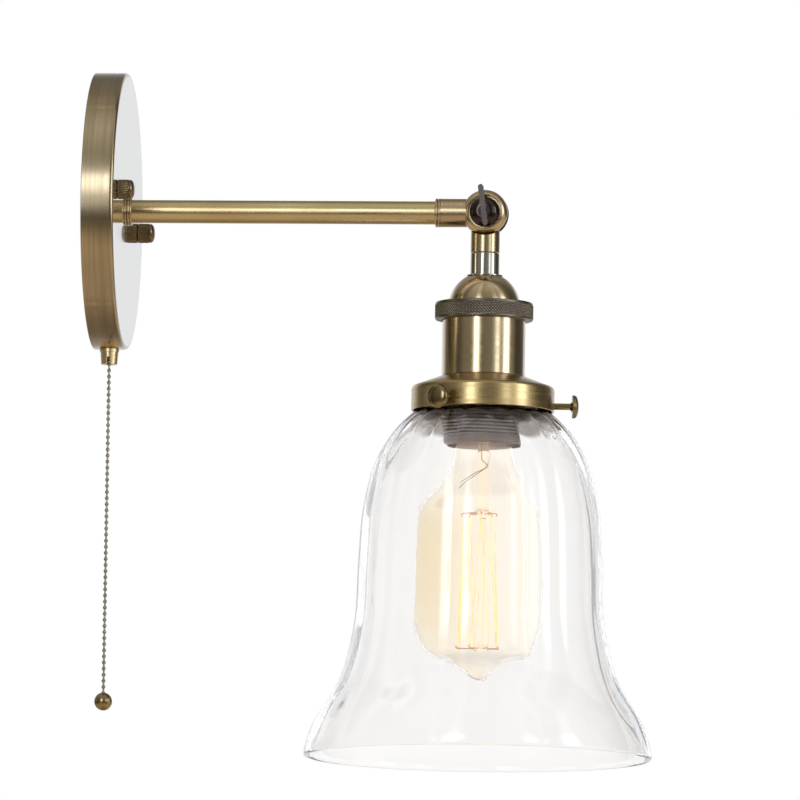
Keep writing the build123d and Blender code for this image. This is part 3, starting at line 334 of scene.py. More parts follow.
def place(piece, body, slot, *nodes, finish=None, at=None):
    """Put a piece on its body for the nodes that it stands for, in its slot's finish or another."""
    if at:
        piece.data.transform(at)
    piece.data.update()
    piece.data.materials.clear()
    piece.data.materials.append(finishes[finish or slot])
    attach(piece, body)
    if nodes:
        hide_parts(*nodes)
    return piece


def turned(name, outline, turns, body, slot, *nodes, finish=None, at=None):
    """A smooth turned piece in its place on its body."""
    return place(settle(lathe(name, outline, turns)), body, slot, *nodes, finish=finish, at=at)


def dress_faces(piece, finish, chosen):
    """Another finish for the faces that chosen(middle in millimetres, normal) picks."""
    piece.data.materials.append(finishes[finish])
    for face in piece.data.polygons:
        if chosen(face.center / MM, face.normal):
            face.material_index = 1


# ---- Node helpers -------------------------------------------------------------------


def node(tree, kind, inputs=None, **settings):
    """Add a node; an input takes a value or another node's socket."""
    made = tree.nodes.new(kind)
    for key, value in settings.items():
        setattr(made, key, value)
    for key, value in (inputs or {}).items():
        socket = made.inputs[key]
        if isinstance(value, bpy.types.NodeSocket):
            tree.links.new(value, socket)
        else:
            socket.default_value = value
    return made


def maths(tree, operation, *values):
    """A number worked out from others."""
    return node(tree, "ShaderNodeMath", dict(enumerate(values)), operation=operation).outputs[0]


def times(tree, one, other):
    """The product of two numbers."""
    return maths(tree, "MULTIPLY", one, other)


def vectors(tree, operation, inputs):
    """A vector worked out from others."""
    return node(tree, "ShaderNodeVectorMath", inputs, operation=operation).outputs[0]


def noise(tree, spot, scale, stretch=(1, 1, 1), detail=3.0):
    """Noise of a scale per metre, stretched along the axes, as a number."""
    mapped = node(tree, "ShaderNodeMapping", {"Vector": spot, "Scale": stretch})
    return node(
        tree, "ShaderNodeTexNoise", {"Vector": mapped.outputs[0], "Scale": scale, "Detail": detail}
    ).outputs["Fac"]


def spread(tree, value, low, high, source=(0.3, 0.7)):
    """A number from source's range mapped to low and high."""
    limits = {"From Min": source[0], "From Max": source[1], "To Min": low, "To Max": high}
    return node(tree, "ShaderNodeMapRange", {"Value": value, **limits}).outputs[0]


def blend_colours(tree, factor, one, other):
    """A colour between two."""
    return node(
        tree, "ShaderNodeMix", {"Factor": factor, "A": one, "B": other}, data_type="RGBA"
    ).outputs["Result"]


def ramp(tree, value, limit, stops):
    """A brightness that runs through stops of (value, brightness), from -limit to limit."""
    brightest = 8.0
    made = node(tree, "ShaderNodeValToRGB", {"Fac": spread(tree, value, 0.0, 1.0, (-limit, limit))})
    elements = made.color_ramp.elements
    while len(elements) > 1:
        elements.remove(elements[-1])
    for i, (spot, bright) in enumerate(stops):
        share = (spot + limit) / (2 * limit)
        element = elements[0] if i == 0 else elements.new(share)
        element.position = share
        element.color = (bright / brightest, bright / brightest, bright / brightest, 1)
    return times(tree, made.outputs["Color"], brightest)


# ---- Geometry Nodes -----------------------------------------------------------------


def geometry_tree(name, sockets):
    """A Geometry Nodes tree that takes a shape, the named inputs and a material."""
    tree = bpy.data.node_groups.new(name, "GeometryNodeTree")

    def socket(label, kind, way="INPUT"):
        return tree.interface.new_socket(label, in_out=way, socket_type=f"NodeSocket{kind}")

    socket("Geometry", "Geometry")
    for label, (kind, default) in sockets.items():
        socket(label, kind).default_value = default
    socket("Material", "Material")
    socket("Geometry", "Geometry", "OUTPUT")
    return tree, tree.nodes.new("NodeGroupInput")


def end_tree(tree, source, geometry):
    """End a tree in Realize Instances and Set Material."""
    real = node(tree, "GeometryNodeRealizeInstances", {"Geometry": geometry})
    coated = node(
        tree, "GeometryNodeSetMaterial",
        {"Geometry": real.outputs["Geometry"], "Material": source.outputs["Material"]},
    )
    node(tree, "NodeGroupOutput", {"Geometry": coated.outputs["Geometry"]})
    return tree


def grow(piece, tree, finish, **values):
    """Run a tree on a piece with a finish and the values of its inputs, and keep the result."""
    run = piece.modifiers.new(tree.name, "NODES")
    run.node_group = tree
    values["material"] = finishes[finish]
    for item in tree.interface.items_tree:
        key = item.name.replace(" ", "_").lower()
        if item.in_out == "INPUT" and key in values:
            run[item.identifier] = values[key]
    return keep_result(piece)


def tube(tree, curve, radius):
    """A round tube with closed ends along a curve."""
    section = node(
        tree, "GeometryNodeCurvePrimitiveCircle", {"Resolution": 10, "Radius": radius},
        mode="RADIUS",
    )
    return node(
        tree, "GeometryNodeCurveToMesh",
        {"Curve": curve, "Profile Curve": section.outputs[0], "Fill Caps": True},
    )


def ridges_tree():
    """Cuts grooves into a turned shape: flutes, straight or crossed knurls, or a thread."""
    tree, source = geometry_tree("Ridges", {
        "Count": ("Int", 20), "Lead": ("Float", 0.0), "Depth": ("Float", 0.001),
        "Roundness": ("Float", 1.0), "Crossed": ("Bool", False),
    })
    spot = node(tree, "GeometryNodeInputPosition").outputs[0]
    axes = node(tree, "ShaderNodeSeparateXYZ", {0: spot})
    angle = maths(tree, "ARCTAN2", axes.outputs["Y"], axes.outputs["X"])
    around = times(tree, angle, source.outputs["Count"])
    climb = times(tree, axes.outputs["Z"], source.outputs["Lead"])
    waves = []
    for operation in ("ADD", "SUBTRACT"):
        phase = times(tree, maths(tree, operation, around, climb), 0.5)
        wave = maths(tree, "ABSOLUTE", maths(tree, "COSINE", phase))
        waves.append(maths(tree, "POWER", wave, source.outputs["Roundness"]))
    both = maths(tree, "MINIMUM", *waves)
    wave = node(
        tree, "GeometryNodeSwitch",
        {"Switch": source.outputs["Crossed"], "False": waves[0], "True": both}, input_type="FLOAT",
    ).outputs[0]
    mask = node(tree, "GeometryNodeInputNamedAttribute", {"Name": "ridge_mask"}, data_type="FLOAT")
    cut = times(tree, maths(tree, "SUBTRACT", wave, 1.0), source.outputs["Depth"])
    level = node(tree, "ShaderNodeCombineXYZ", {key: axes.outputs[key] for key in "XY"})
    outward = vectors(tree, "NORMALIZE", {0: level.outputs[0]})
    shift = vectors(tree, "SCALE", {0: outward, "Scale": times(tree, cut, mask.outputs[0])})
    moved = node(
        tree, "GeometryNodeSetPosition", {"Geometry": source.outputs["Geometry"], "Offset": shift}
    )
    kept = node(
        tree, "GeometryNodeStoreNamedAttribute",
        {"Geometry": moved.outputs[0], "Name": "ridge", "Value": wave}, data_type="FLOAT",
    )
    return end_tree(tree, source, kept.outputs[0])


def beads_tree():
    """Beads on a thin wire along a route."""
    tree, source = geometry_tree("Bead chain", {
        "Pitch": ("Float", 0.0026), "Bead radius": ("Float", 0.00095),
        "Link radius": ("Float", 0.0003),
    })
    line = node(tree, "GeometryNodeMeshToCurve", {"Mesh": source.outputs["Geometry"]})
    spots = node(
        tree, "GeometryNodeResampleCurve",
        {"Curve": line.outputs[0], "Length": source.outputs["Pitch"]}, mode="LENGTH",
    )
    bead = node(
        tree, "GeometryNodeMeshIcoSphere",
        {"Radius": source.outputs["Bead radius"], "Subdivisions": 3},
    )
    smooth = node(tree, "GeometryNodeSetShadeSmooth", {"Geometry": bead.outputs[0]})
    beads = node(
        tree, "GeometryNodeInstanceOnPoints",
        {"Points": spots.outputs[0], "Instance": smooth.outputs[0]},
    )
    joined = node(tree, "GeometryNodeJoinGeometry")
    for part in (beads, tube(tree, line.outputs[0], source.outputs["Link radius"])):
        tree.links.new(part.outputs[0], joined.inputs[0])
    return end_tree(tree, source, joined.outputs[0])


def wires_tree():
    """Round wire along polylines, with bent corners."""
    tree, source = geometry_tree("Bent wire", {"Radius": ("Float", 0.001), "Bend": ("Float", 0.0)})
    line = node(tree, "GeometryNodeMeshToCurve", {"Mesh": source.outputs["Geometry"]})
    bent = node(
        tree, "GeometryNodeFilletCurve",
        {
            "Curve": line.outputs[0], "Radius": source.outputs["Bend"], "Count": 6,
            "Limit Radius": True,
        },
        mode="POLY",
    )
    wire = tube(tree, bent.outputs[0], source.outputs["Radius"])
    smooth = node(tree, "GeometryNodeSetShadeSmooth", {"Geometry": wire.outputs[0]})
    return end_tree(tree, source, smooth.outputs[0])


def wires(name, lines, radius, bend, finish):
    """Wires of one thickness through lists of points in millimetres."""
    mesh = bpy.data.meshes.new(name)
    verts, edges = [], []
    for line in lines:
        edges += [(len(verts) + i, len(verts) + i + 1) for i in range(len(line) - 1)]
        verts += [tuple(Vector(spot) * MM) for spot in line]
    mesh.from_pydata(verts, edges, [])
    tree = bpy.data.node_groups.get("Bent wire") or wires_tree()
    return grow(new_object(name, mesh), tree, finish, radius=radius * MM, bend=bend * MM)


def ridged(piece, finish, **values):
    """Cut grooves into a turned piece."""
    return grow(piece, bpy.data.node_groups.get("Ridges") or ridges_tree(), finish, **values)


# ---- Finishes -----------------------------------------------------------------------

finishes = {}

# Spots of noise to a metre: brush lines, clouds of patina, fine specks, ripples in glass.
LINES, CLOUDS, SPECKS, RIPPLES = 90, 28, 420, 55

# How a finish's fine lines are stretched, by the way that they run.
EVEN = (1, 1, 1)
ACROSS_X = (8.0, 0.15, 0.15)
ACROSS_Z = (0.15, 0.15, 8.0)
ALONG_X = (0.3, 3.0, 3.0)

# Ranges in millimetres over which a tint of glass or the painted shade round the bell's neck fades,
# and how far the flutes bend the shade's lower edge.
AMBER_ACROSS = (knuckle_x - 24, knuckle_x + 2)
AMBER_TOP = (-135, -114)
AMBER_FOOT = (-186, -170)
PAINTED_SHADE_SPAN = (-91.6, -89.9)
PAINTED_SHADE_WAVE = 2.8


def finish_tree(name, constants):
    """A material, its tree, its Principled shader with constants set, and its coordinates."""
    material = bpy.data.materials.new(name)
    material.use_nodes = True
    tree = material.node_tree
    shader = tree.nodes["Principled BSDF"]
    for key, value in constants.items():
        shader.inputs[key].default_value = value
    return material, tree, shader, node(tree, "ShaderNodeTexCoord").outputs["Object"]


def link_surface(tree, shader, tone, rough, relief, strength, distance):
    """Link a finish's colour, roughness and relief."""
    bump = node(
        tree, "ShaderNodeBump", {"Strength": strength, "Distance": distance, "Height": relief}
    )
    for key, socket in (("Base Color", tone), ("Roughness", rough), ("Normal", bump.outputs[0])):
        tree.links.new(socket, shader.inputs[key])


def metal_finish(name, colour, shade, roughness, grain=EVEN, bump=0.01, patina=0.35, coat=0.0,
                 crest=None):
    """A metal with fine lines of its making, clouds of patina, and worn crests.

    grain stretches the lines: the axis that they run across has the large number.
    """
    material, tree, shader, spot = finish_tree(name, {"Metallic": 1.0, "Coat Weight": coat})
    colour, shade = linear(colour), linear(shade)
    lines = noise(tree, spot, LINES, grain, detail=2.0)
    clouds = noise(tree, spot, CLOUDS, detail=4.0)
    specks = noise(tree, spot, SPECKS, detail=2.0)
    tone = blend_colours(tree, spread(tree, clouds, 0.0, patina), colour, shade)
    tone = blend_colours(tree, spread(tree, lines, 0.0, patina * 0.8), tone, shade)
    if crest:
        ridge = node(tree, "ShaderNodeAttribute", attribute_name="ridge").outputs["Fac"]
        tone = blend_colours(tree, spread(tree, ridge, 0.0, 1.0, (0.55, 0.95)), tone, linear(crest))
    rough = maths(
        tree, "ADD", spread(tree, lines, roughness * 0.75, roughness * 1.2),
        spread(tree, specks, -0.008, 0.012),
    )
    link_surface(tree, shader, tone, rough, lines, strength=bump * 10, distance=0.00003)
    return material


def clear_finish(name, colour, ior, coat=0.0, smear=0.02, painted_glow=None, strength=0.0, wall_side_tint=None,
                 painted_neck_shade=None):
    """Blown glass: clear, with the slow ripple of the mould in its face.

    A second tint, stronger towards the wall; round the neck, a painted shade where the carrier's
    dark inside shows through.
    """
    material, tree, shader, spot = finish_tree(
        name, {"Transmission Weight": 1.0, "IOR": ior, "Coat Weight": coat}
    )
    ripple = noise(tree, spot, RIPPLES, (1, 1, 0.5), detail=1.0)
    tint = blend_colours(tree, spread(tree, ripple, 0.0, 0.3), linear(colour), (1, 1, 1, 1))
    axes = node(tree, "ShaderNodeSeparateXYZ", {0: spot}).outputs

    def fade(value, low, high, limits):
        return spread(tree, value, low, high, [limit * MM for limit in limits])

    # More amber towards the wall, in soft clouds, and less at the top and the foot.
    if wall_side_tint:
        side = fade(axes["X"], 1.0, 0.0, AMBER_ACROSS)
        cloud = spread(tree, noise(tree, spot, 22, (1, 1, 0.4), detail=1.0), -0.25, 0.25)
        side = times(tree, side, maths(tree, "ADD", cloud, 0.75))
        top = fade(axes["Z"], 1.0, 0.15, AMBER_TOP)
        foot = fade(axes["Z"], 0.6, 1.0, AMBER_FOOT)
        side = times(tree, side, times(tree, top, foot))
        tint = blend_colours(tree, side, tint, linear(wall_side_tint))
    # Painted shade round the neck, its lower edge waved by the flutes.
    if painted_neck_shade:
        ridge = node(tree, "ShaderNodeAttribute", attribute_name="ridge").outputs["Fac"]
        drop = maths(tree, "ADD", axes["Z"], times(tree, ridge, PAINTED_SHADE_WAVE * MM))
        tint = blend_colours(tree, fade(drop, 0.0, 1.0, PAINTED_SHADE_SPAN), tint, linear(painted_neck_shade))
    rough = spread(tree, ripple, 0.0, smear)
    link_surface(tree, shader, tint, rough, ripple, strength=0.12, distance=0.0002)
    # A painted glow, standing in for the filament's light in the glass.
    if painted_glow:
        shader.inputs["Emission Color"].default_value = linear(painted_glow)
        shader.inputs["Emission Strength"].default_value = strength
    return material


def matt_finish(name, colour, shade, roughness, scale=260, depth=0.25, coat=0.0):
    """A moulded, fired or drawn non-metal with fine speckle."""
    material, tree, shader, spot = finish_tree(name, {"Coat Weight": coat})
    colour, shade = linear(colour), linear(shade)
    speckle = noise(tree, spot, scale, detail=4.0)
    clouds = noise(tree, spot, 40, detail=2.0)
    tone = blend_colours(tree, spread(tree, speckle, 0.0, 0.5), colour, shade)
    tone = blend_colours(tree, spread(tree, clouds, 0.0, 0.4), tone, shade)
    rough = spread(tree, speckle, roughness * 0.85, roughness * 1.15)
    link_surface(tree, shader, tone, rough, speckle, strength=depth, distance=0.00005)
    return material


def glow_finish(name, colour, strength):
    """Hot tungsten, which glows more in some stretches than in others."""
    material, tree, shader, spot = finish_tree(
        name, {"Base Color": linear("#6B6258"), "Emission Color": colour}
    )
    heat = noise(tree, spot, 300, (1, 1, 0.4), detail=1.0)
    heat = spread(tree, heat, strength * 0.8, strength * 1.2)
    tree.links.new(heat, shader.inputs["Emission Strength"])
    return material


def make_finishes():
    """Every finish of the sconce, by the record's slot names and by names of its own."""
    tone = bpy.context.scene.sconce_colours
    # Material, colour, shade, roughness, grain, depth of the grain, patina, lacquer, crests.
    metals = {
        # Spun brass, chemically darkened, brushed on the lathe and lacquered: the brush
        # lines run round it and draw the lights out into soft bands.
        "antique_brass": ("brushed_antique_brass", tone.antique_brass, "#8A7C60", 0.18,
                          ACROSS_X, 0.012, 0.7, 0.4),
        # The canopy's front, buffed under the lacquer: a soft mirror, paler and greyer than the rim
        # as a painted reflection of the white backdrop.
        "antique_brass_face": ("buffed_antique_brass", "#D2C5A6", "#C6B893", 0.11,
                               EVEN, 0.002, 0.2, 1.0),
        # Drawn brass tube, polished along its length.
        "arm_brass": ("drawn_brass", tone.arm_brass, "#B1925F", 0.26, ALONG_X, 0.004),
        # Fork, tongue and rings, machined before they are darkened and lacquered.
        "knuckle_brass": ("machined_antique_brass", tone.antique_brass, "#96835F", 0.23,
                          ACROSS_X, 0.008, 0.35, 0.4),
        # The holder's turned brass, polished enough for hard edged lights.
        "holder_brass": ("polished_antique_brass", tone.antique_brass, "#A08C66", 0.17,
                         ACROSS_Z, 0.012, 0.35, 0.8),
        # The carrier, turned with a coarser tool and left satin.
        "gallery_brass": ("satin_antique_brass", tone.satin_brass, "#988052", 0.3,
                          ACROSS_Z, 0.02, 0.35, 0.4),
        # The carrier's unpolished inside, made dark as painted shade of the hollow over the glass.
        "gallery_inside": ("dull_bronzed_inside", "#6A6058", "#453E38", 0.55, EVEN, 0.02, 0.5),
        # Small turned brass: thumb screws, the chain's ball and the knurled cap nuts.
        "screw_brass": ("turned_screw_brass", "#96835A", "#665738", 0.22),
        "ball_brass": ("turned_brass_ball", "#A48C60", "#6E5A3A", 0.22),
        "nut_brass": ("knurled_brass", "#8F7D5C", "#5E5038", 0.3, EVEN, 0.01, 0.4),
        # The stem's collar and washer, bright under their lacquer.
        "stem_brass": ("bright_turned_brass", "#C8C0AA", "#9C937F", 0.13,
                       ACROSS_Z, 0.01, 0.35, 0.8),
        # The clamp screw, blackened and polished by use.
        "wing_bronze": ("blackened_wing_screw", "#463D36", "#2E2722", 0.14, EVEN, 0.004, 0.4),
        # The fin's cast faces, rubbed by fingers.
        "wing_fin": ("rubbed_wing_fin", "#5B534B", "#443F38", 0.34, EVEN, 0.01, 0.4),
        # Blackened brass whose cut teeth are rubbed bright.
        "dark_bronze": ("blackened_bronze", tone.dark_bronze, "#3A332A", 0.36,
                        EVEN, 0.02, 0.5, 0.0, "#B7AD98"),
        # Machined brass without a patina, as on the chain's bushing.
        "bright_brass": ("bright_machined_brass", tone.bright_brass, "#C9A765", 0.34, ACROSS_Z),
        # Tin-grey galvanised threads with a brown bloom.
        "skirt_grey": ("bronzed_zinc", "#7E7069", "#574B45", 0.3, ACROSS_Z, 0.02, 0.5),
        # The skirt's mouth, where the cut brass shows, made pink and bright as a painted glint of
        # the bulb's cap inside it.
        "skirt_mouth_glint": ("cut_red_brass", "#CFAE9F", "#A98A7A", 0.3, EVEN, 0.01, 0.4),
        # Hardware inside the canopy: zinc on steel, and the plain brass earth screw.
        "plated_steel": ("zinc_plated_steel", "#C9CBC9", "#A0A39B", 0.33, EVEN, 0.01, 0.4),
        "earth_brass": ("plain_brass_screw", "#D8BC72", "#A98A45", 0.3),
        # Rolled steel beads with a thin wash of brass.
        "chain_steel": ("brassed_steel_beads", "#ADA78E", "#7E7861", 0.3, EVEN, 0.005),
        # The bulb's nickelled cap, its hooks and its lead wires.
        "bulb_nickel": ("nickelled_brass_cap", "#D9CFC0", "#B29A80", 0.25),
        "support_wire": ("molybdenum_wire", "#E6B78B", "#C69066", 0.5),
        "lead_wire": ("nickel_lead_wire", "#A39B86", "#7C7463", 0.3),
    }
    # Material, colour, shade, roughness, speckle's scale, its depth, glaze.
    others = {
        # Injection moulded plastics with the grain of their moulds.
        "switch_plastic": ("moulded_polyamide", "#E9E6DC", "#D9D4C6", 0.45),
        "terminal_plastic": ("clear_grey_polythene", "#E4E3DE", "#CFCDC6", 0.4),
        # Pressed vulcanised fibre.
        "fibre": ("vulcanised_fibre", "#A4563E", "#843F2C", 0.7, 500, 0.6),
        # Glazed white porcelain of the socket insert.
        "porcelain": ("glazed_porcelain", "#F1EEE6", "#E2DDD1", 0.16, 90, 0.08, 0.6),
        # Silicone sheathed leads.
        "wire_brown": ("brown_silicone", "#5A3A26", "#45291A", 0.5),
        "wire_black": ("black_silicone", "#22211F", "#161514", 0.45),
        "wire_blue": ("blue_silicone", "#2F6DB0", "#22568F", 0.45),
        "wire_green": ("green_silicone", "#6FA03A", "#D5C53A", 0.45, 90),
        # Black glass that insulates the bulb's contact.
        "bulb_vitrite": ("black_vitrite", "#1B1A1C", "#2A2A2D", 0.2),
    }
    finishes.update({slot: metal_finish(*look) for slot, look in metals.items()})
    finishes.update({slot: matt_finish(*look) for slot, look in others.items()})
    finishes.update({
        # Moulded soda glass, with a painted shade round the neck where the holder's dark inside
        # shows in it.
        "shade_glass": clear_finish(
            "moulded_soda_glass", tone.shade_glass, 1.2, 1.0, 0.015, painted_neck_shade="#8C827D"
        ),
        # Thin glass under amber lacquer, more amber on the side that faces the wall.
        "bulb_glass": clear_finish(
            # The faint emission is a painted glow of the filament's light in the envelope.
            "amber_lacquered_glass", tone.bulb_glass, 1.18, 1.0, painted_glow="#FFF8EC", strength=0.02,
            wall_side_tint="#F5EAD2",
        ),
        # Lead glass of the bulb's mount, with a painted glow for the filament's light in it.
        "mount_glass": clear_finish(
            "lead_glass_mount", "#FFF6EA", 1.5, painted_glow="#FFD9A8", strength=0.05
        ),
        "filament": glow_finish("glowing_tungsten", tone.filament, 2.5),
    })


# ---- Operators ----------------------------------------------------------------------


class SCONCE_OT_camera(bpy.types.Operator):
    """Long lens a little below the arm, as the sconce is seen in its photograph"""

    bl_idname = "sconce.camera"
    bl_label = "Camera"

    def execute(self, context):
        """Aim the camera."""
        distance, field, sensor = 6.0, 0.34546, 36.0
        azimuth, elevation, roll = (math.radians(degrees) for degrees in (5.2, -6.08, 0.9))
        aim = Vector((0.1336, 0, -0.0814))
        data = bpy.data.cameras.new("studio_camera")
        data.sensor_width = sensor
        data.lens = sensor * distance / field
        data.clip_end = 500
        back = Vector((
            math.sin(azimuth) * math.cos(elevation),
            -math.cos(azimuth) * math.cos(elevation),
            math.sin(elevation),
        ))
        camera = new_object("studio_camera", data)
        look = (-back).to_track_quat("-Z", "Y").to_matrix().to_4x4()
        camera.matrix_world = (
            Matrix.Translation(aim + back * distance) @ look @ Matrix.Rotation(roll, 4, "Z")
        )
        context.scene.camera = camera
        return {"FINISHED"}


class SCONCE_OT_pull_chain(bpy.types.Operator):
    """Bead chain with its ball, and the bushing that it hangs from"""

    bl_idname = "sconce.pull_chain"
    bl_label = "Pull chain"

    def execute(self, context):
        """Hang the chain."""
        shapes = context.scene.sconce_shapes
        low, high = span("pull_ball")
        radius = (high.x - low.x) / 2
        chain_x = middle("pull_ball").x
        mouth = span("chain_bushing")[0].z
        length = mouth - high.z
        bead_radius = shapes.bead_width / 2
        tree = beads_tree()

        hole, hole_depth = 1.25, 0.5
        outline = arc((0, 0), (radius, radius), -QUARTER, QUARTER - math.asin(hole / radius), 32)
        outline += [(hole - 0.1, radius - hole_depth), (0, radius - hole_depth)]
        ball = turned("pull_ball_turned", outline, 64, "pull", "screw_brass", "pull_ball",
                      finish="ball_brass", at=seat(chain_x, 0, low.z + radius))

        def chain_along(mesh, name, *nodes):
            """Beads along a mesh's edges."""
            chain = new_object(name, mesh)
            grow(chain, tree, "chain_steel", pitch=shapes.bead_pitch, bead_radius=bead_radius,
                 link_radius=0.00042)
            return place(chain, "pull", "chain_steel", *nodes)

        route = bpy.data.curves.new("chain_route", "CURVE")
        route.dimensions = "3D"
        spline = route.splines.new("NURBS")
        shares = (0.0, 0.3, 0.68, 1.0)
        spline.points.add(len(shares) - 1)
        for point, share in zip(spline.points, shares):
            point.co = (chain_x * MM, 0, (mouth - share * length) * MM, 1)
        spline.order_u = 3
        spline.use_endpoint_u = True
        line = new_object("chain_route", route)
        context.view_layer.update()
        shown = line.evaluated_get(context.evaluated_depsgraph_get())
        path_mesh = bpy.data.meshes.new_from_object(shown)
        bpy.data.objects.remove(line)
        chain = chain_along(path_mesh, "bead_chain", "pull_chain")

        # The rest of it, out of sight between the bushing's mouth and the switch.
        inside = bpy.data.meshes.new("bead_chain_inside")
        first = (mouth + 0.5 * shapes.bead_pitch / MM) * MM
        last = span("pull_chain")[1].z * MM - bead_radius
        inside.from_pydata([(chain_x * MM, 0, end) for end in (first, last)], [(0, 1)], [])
        chain_along(inside, "bead_chain_inside")

        bushing = settle(merged_copy("chain_bushing_turned", "chain_bushing"), edge=0.12)
        place(bushing, "fixture", "bright_brass", "chain_bushing")
        return {"FINISHED"}


class SCONCE_OT_canopy(bpy.types.Operator):
    """Round canopy against the wall, with its two knurled cap nuts"""

    bl_idname = "sconce.canopy"
    bl_label = "Canopy"

    def execute(self, context):
        """Make the canopy."""
        _, high, rim = turned_span("canopy")
        depth, wall, hole, corner = high.x, 1.2, 5.3, 1.7
        outline = rounded([
            (hole, depth), (rim, depth, corner), (rim, 0, 0.35), (rim - wall, 0, 0.35),
            (rim - wall, depth - wall, 0.7), (hole, depth - wall),
        ], 6)
        shell = turned("canopy_spun", outline, 256, "fixture", "antique_brass", "canopy", at=on_arm)
        flat = rim - corner - 0.05
        # The flat front takes the paler brass: a painted reflection of the white backdrop.
        dress_faces(
            shell, "antique_brass_face",
            lambda spot, normal: normal.x > 0.98 and math.hypot(spot.y, spot.z) < flat,
        )

        teeth = context.scene.sconce_shapes.nut_teeth
        for name in ("cap_nut_near", "cap_nut_far"):
            low, high, radius = turned_span(name)
            length = high.x - low.x
            outline = [
                (0, 0.02), (radius - 0.35, 0.02), (radius, 0.4), (radius, 0.65),
                (radius, length - 2.75), (radius, length - 2.5), (radius - 0.3, length - 2.3),
                (radius - 0.3, length - 2.05), (radius - 0.1, length - 1.9),
                (radius - 0.15, length - 1.5), (radius - 0.6, length - 0.85),
                (radius - 1.4, length - 0.35), (radius - 2.6, length - 0.08), (0, length),
            ]
            mask = on_wall(radius, 0.6, length - 2.7)
            nut = lathe(f"{name}_knurled", outline, teeth * NUT_POINTS, mask)
            ridged(nut, "nut_brass", count=teeth, depth=0.00026, roundness=0.8)
            centre = middle(name)
            place(settle(nut), name, "antique_brass", name, finish="nut_brass",
                  at=seat(low.x, centre.y, centre.z, ALONG_ARM))
        return {"FINISHED"}


class SCONCE_OT_arm(bpy.types.Operator):
    """Straight arm with the rings at its ends"""

    bl_idname = "sconce.arm"
    bl_label = "Arm"

    def execute(self, context):
        """Make the arm."""
        low, high, radius = turned_span("arm_tube")
        outline = rounded([
            (radius, low.x, 0.2), (radius, high.x, 0.2), (radius - 1, high.x), (radius - 1, low.x)
        ])
        turned("arm_drawn_tube", outline, 96, "fixture", "arm_brass", "arm_tube", at=on_arm)
        for name in ("arm_base_ring", "arm_end_ring"):
            low, high, edge = turned_span(name)
            length = high.x - low.x
            outline = [(radius + 0.05, 0.0)]
            for share in (0.25, 0.75):
                bead = arc((edge - 0.5, length * share), (0.5, length / 4), -QUARTER, QUARTER, 8)
                outline += bead
            outline.append((radius + 0.05, length))
            turned(f"{name}_beaded", outline, 96, "fixture", "knuckle_brass", name,
                   at=seat(low.x, 0, 0, ALONG_ARM))
        return {"FINISHED"}


class SCONCE_OT_knuckle(bpy.types.Operator):
    """Clamped knuckle: fork on the arm, tongue on the stem, and the screw with its fin"""

    bl_idname = "sconce.knuckle"
    bl_label = "Knuckle"

    def execute(self, context):
        """Make the knuckle."""
        fork = settle(merged_copy("knuckle_fork_turned", "knuckle_fork"), edge=0.18)
        place(fork, "fixture", "knuckle_brass", "knuckle_fork")
        tongue = merged_copy("knuckle_tongue_turned", "knuckle_tongue")
        self.hollow_for_ball(tongue.data)
        place(settle(tongue, edge=0.12), "head", "knuckle_brass", "knuckle_tongue")
        screw = settle(merged_copy("wing_screw_turned", "wing_screw"), edge=0.3)
        place(screw, "wing_screw", "dark_bronze", "wing_screw", finish="wing_bronze")
        dress_faces(screw, "wing_fin", self.on_fin)

        # The cheeks' domes, by their height from the middle of the knuckle.
        to_front = seat(knuckle_x, 0, 0, Matrix.Rotation(QUARTER, 4, "X"))
        cheeks = {
            "near": [
                (7.15, 4.5), (7.15, 6.25), (7.25, 6.5), (7.45, 6.58), (7.75, 6.45), (8.2, 6.1),
                (8.6, 5.72), (8.95, 5.3), (9.25, 4.85), (9.5, 4.35), (9.67, 3.8), (9.76, 3.3),
                (9.78, 2.95), (7.15, 2.95),
            ],
            "far": [
                (2.2, -9.3), (3.6, -9.1), (5.4, -8.6), (7.2, -7.6), (8.5, -6.4), (9.4, -5.0),
                (9.75, -3.9), (9.8, -2.95), (2.2, -2.95),
            ],
        }
        for side, outline in cheeks.items():
            turned(f"knuckle_cheek_{side}", outline, 128, "fixture", "knuckle_brass", at=to_front)
        return {"FINISHED"}

    def on_fin(self, spot, normal):
        """Whether a face of the clamp screw is on its fin, which leans a little."""
        fin_foot, head_top, half_width, lean = 7.0, 9.6, 1.75, math.radians(8)
        aside = (spot.x - knuckle_x) * math.cos(lean) + spot.z * math.sin(lean)
        return spot.z > fin_foot or (spot.y < -head_top and abs(aside) < half_width)

    def hollow_for_ball(self, mesh):
        """Cut the stem's top down round the cheeks, so that they stand in front of it."""
        stem, reach, plate = 6.4, 10.2, 2.75
        for vert in mesh.vertices:
            x, y, z = vert.co / MM
            x -= knuckle_x
            if math.hypot(x, y) < stem and abs(y) > plate and z > -reach:
                vert.co.z = min(z, -math.sqrt(reach ** 2 - x ** 2)) * MM


class SCONCE_OT_stem(bpy.types.Operator):
    """Collar and washer between the knuckle and the lamp holder"""

    bl_idname = "sconce.stem"
    bl_label = "Stem"

    def execute(self, context):
        """Make the stem."""
        bore = 5.05
        for name, edge, narrower in (("stem_collar", 0.35, 0), ("stem_washer", 0.15, 0.6)):
            low, high, radius = turned_span(name)
            radius -= narrower
            outline = rounded([
                (bore, high.z), (radius, high.z, edge), (radius, low.z, edge), (bore, low.z)
            ])
            turned(f"{name}_turned", outline, 96, "head", "holder_brass", name,
                   finish="stem_brass", at=on_head)
        return {"FINISHED"}


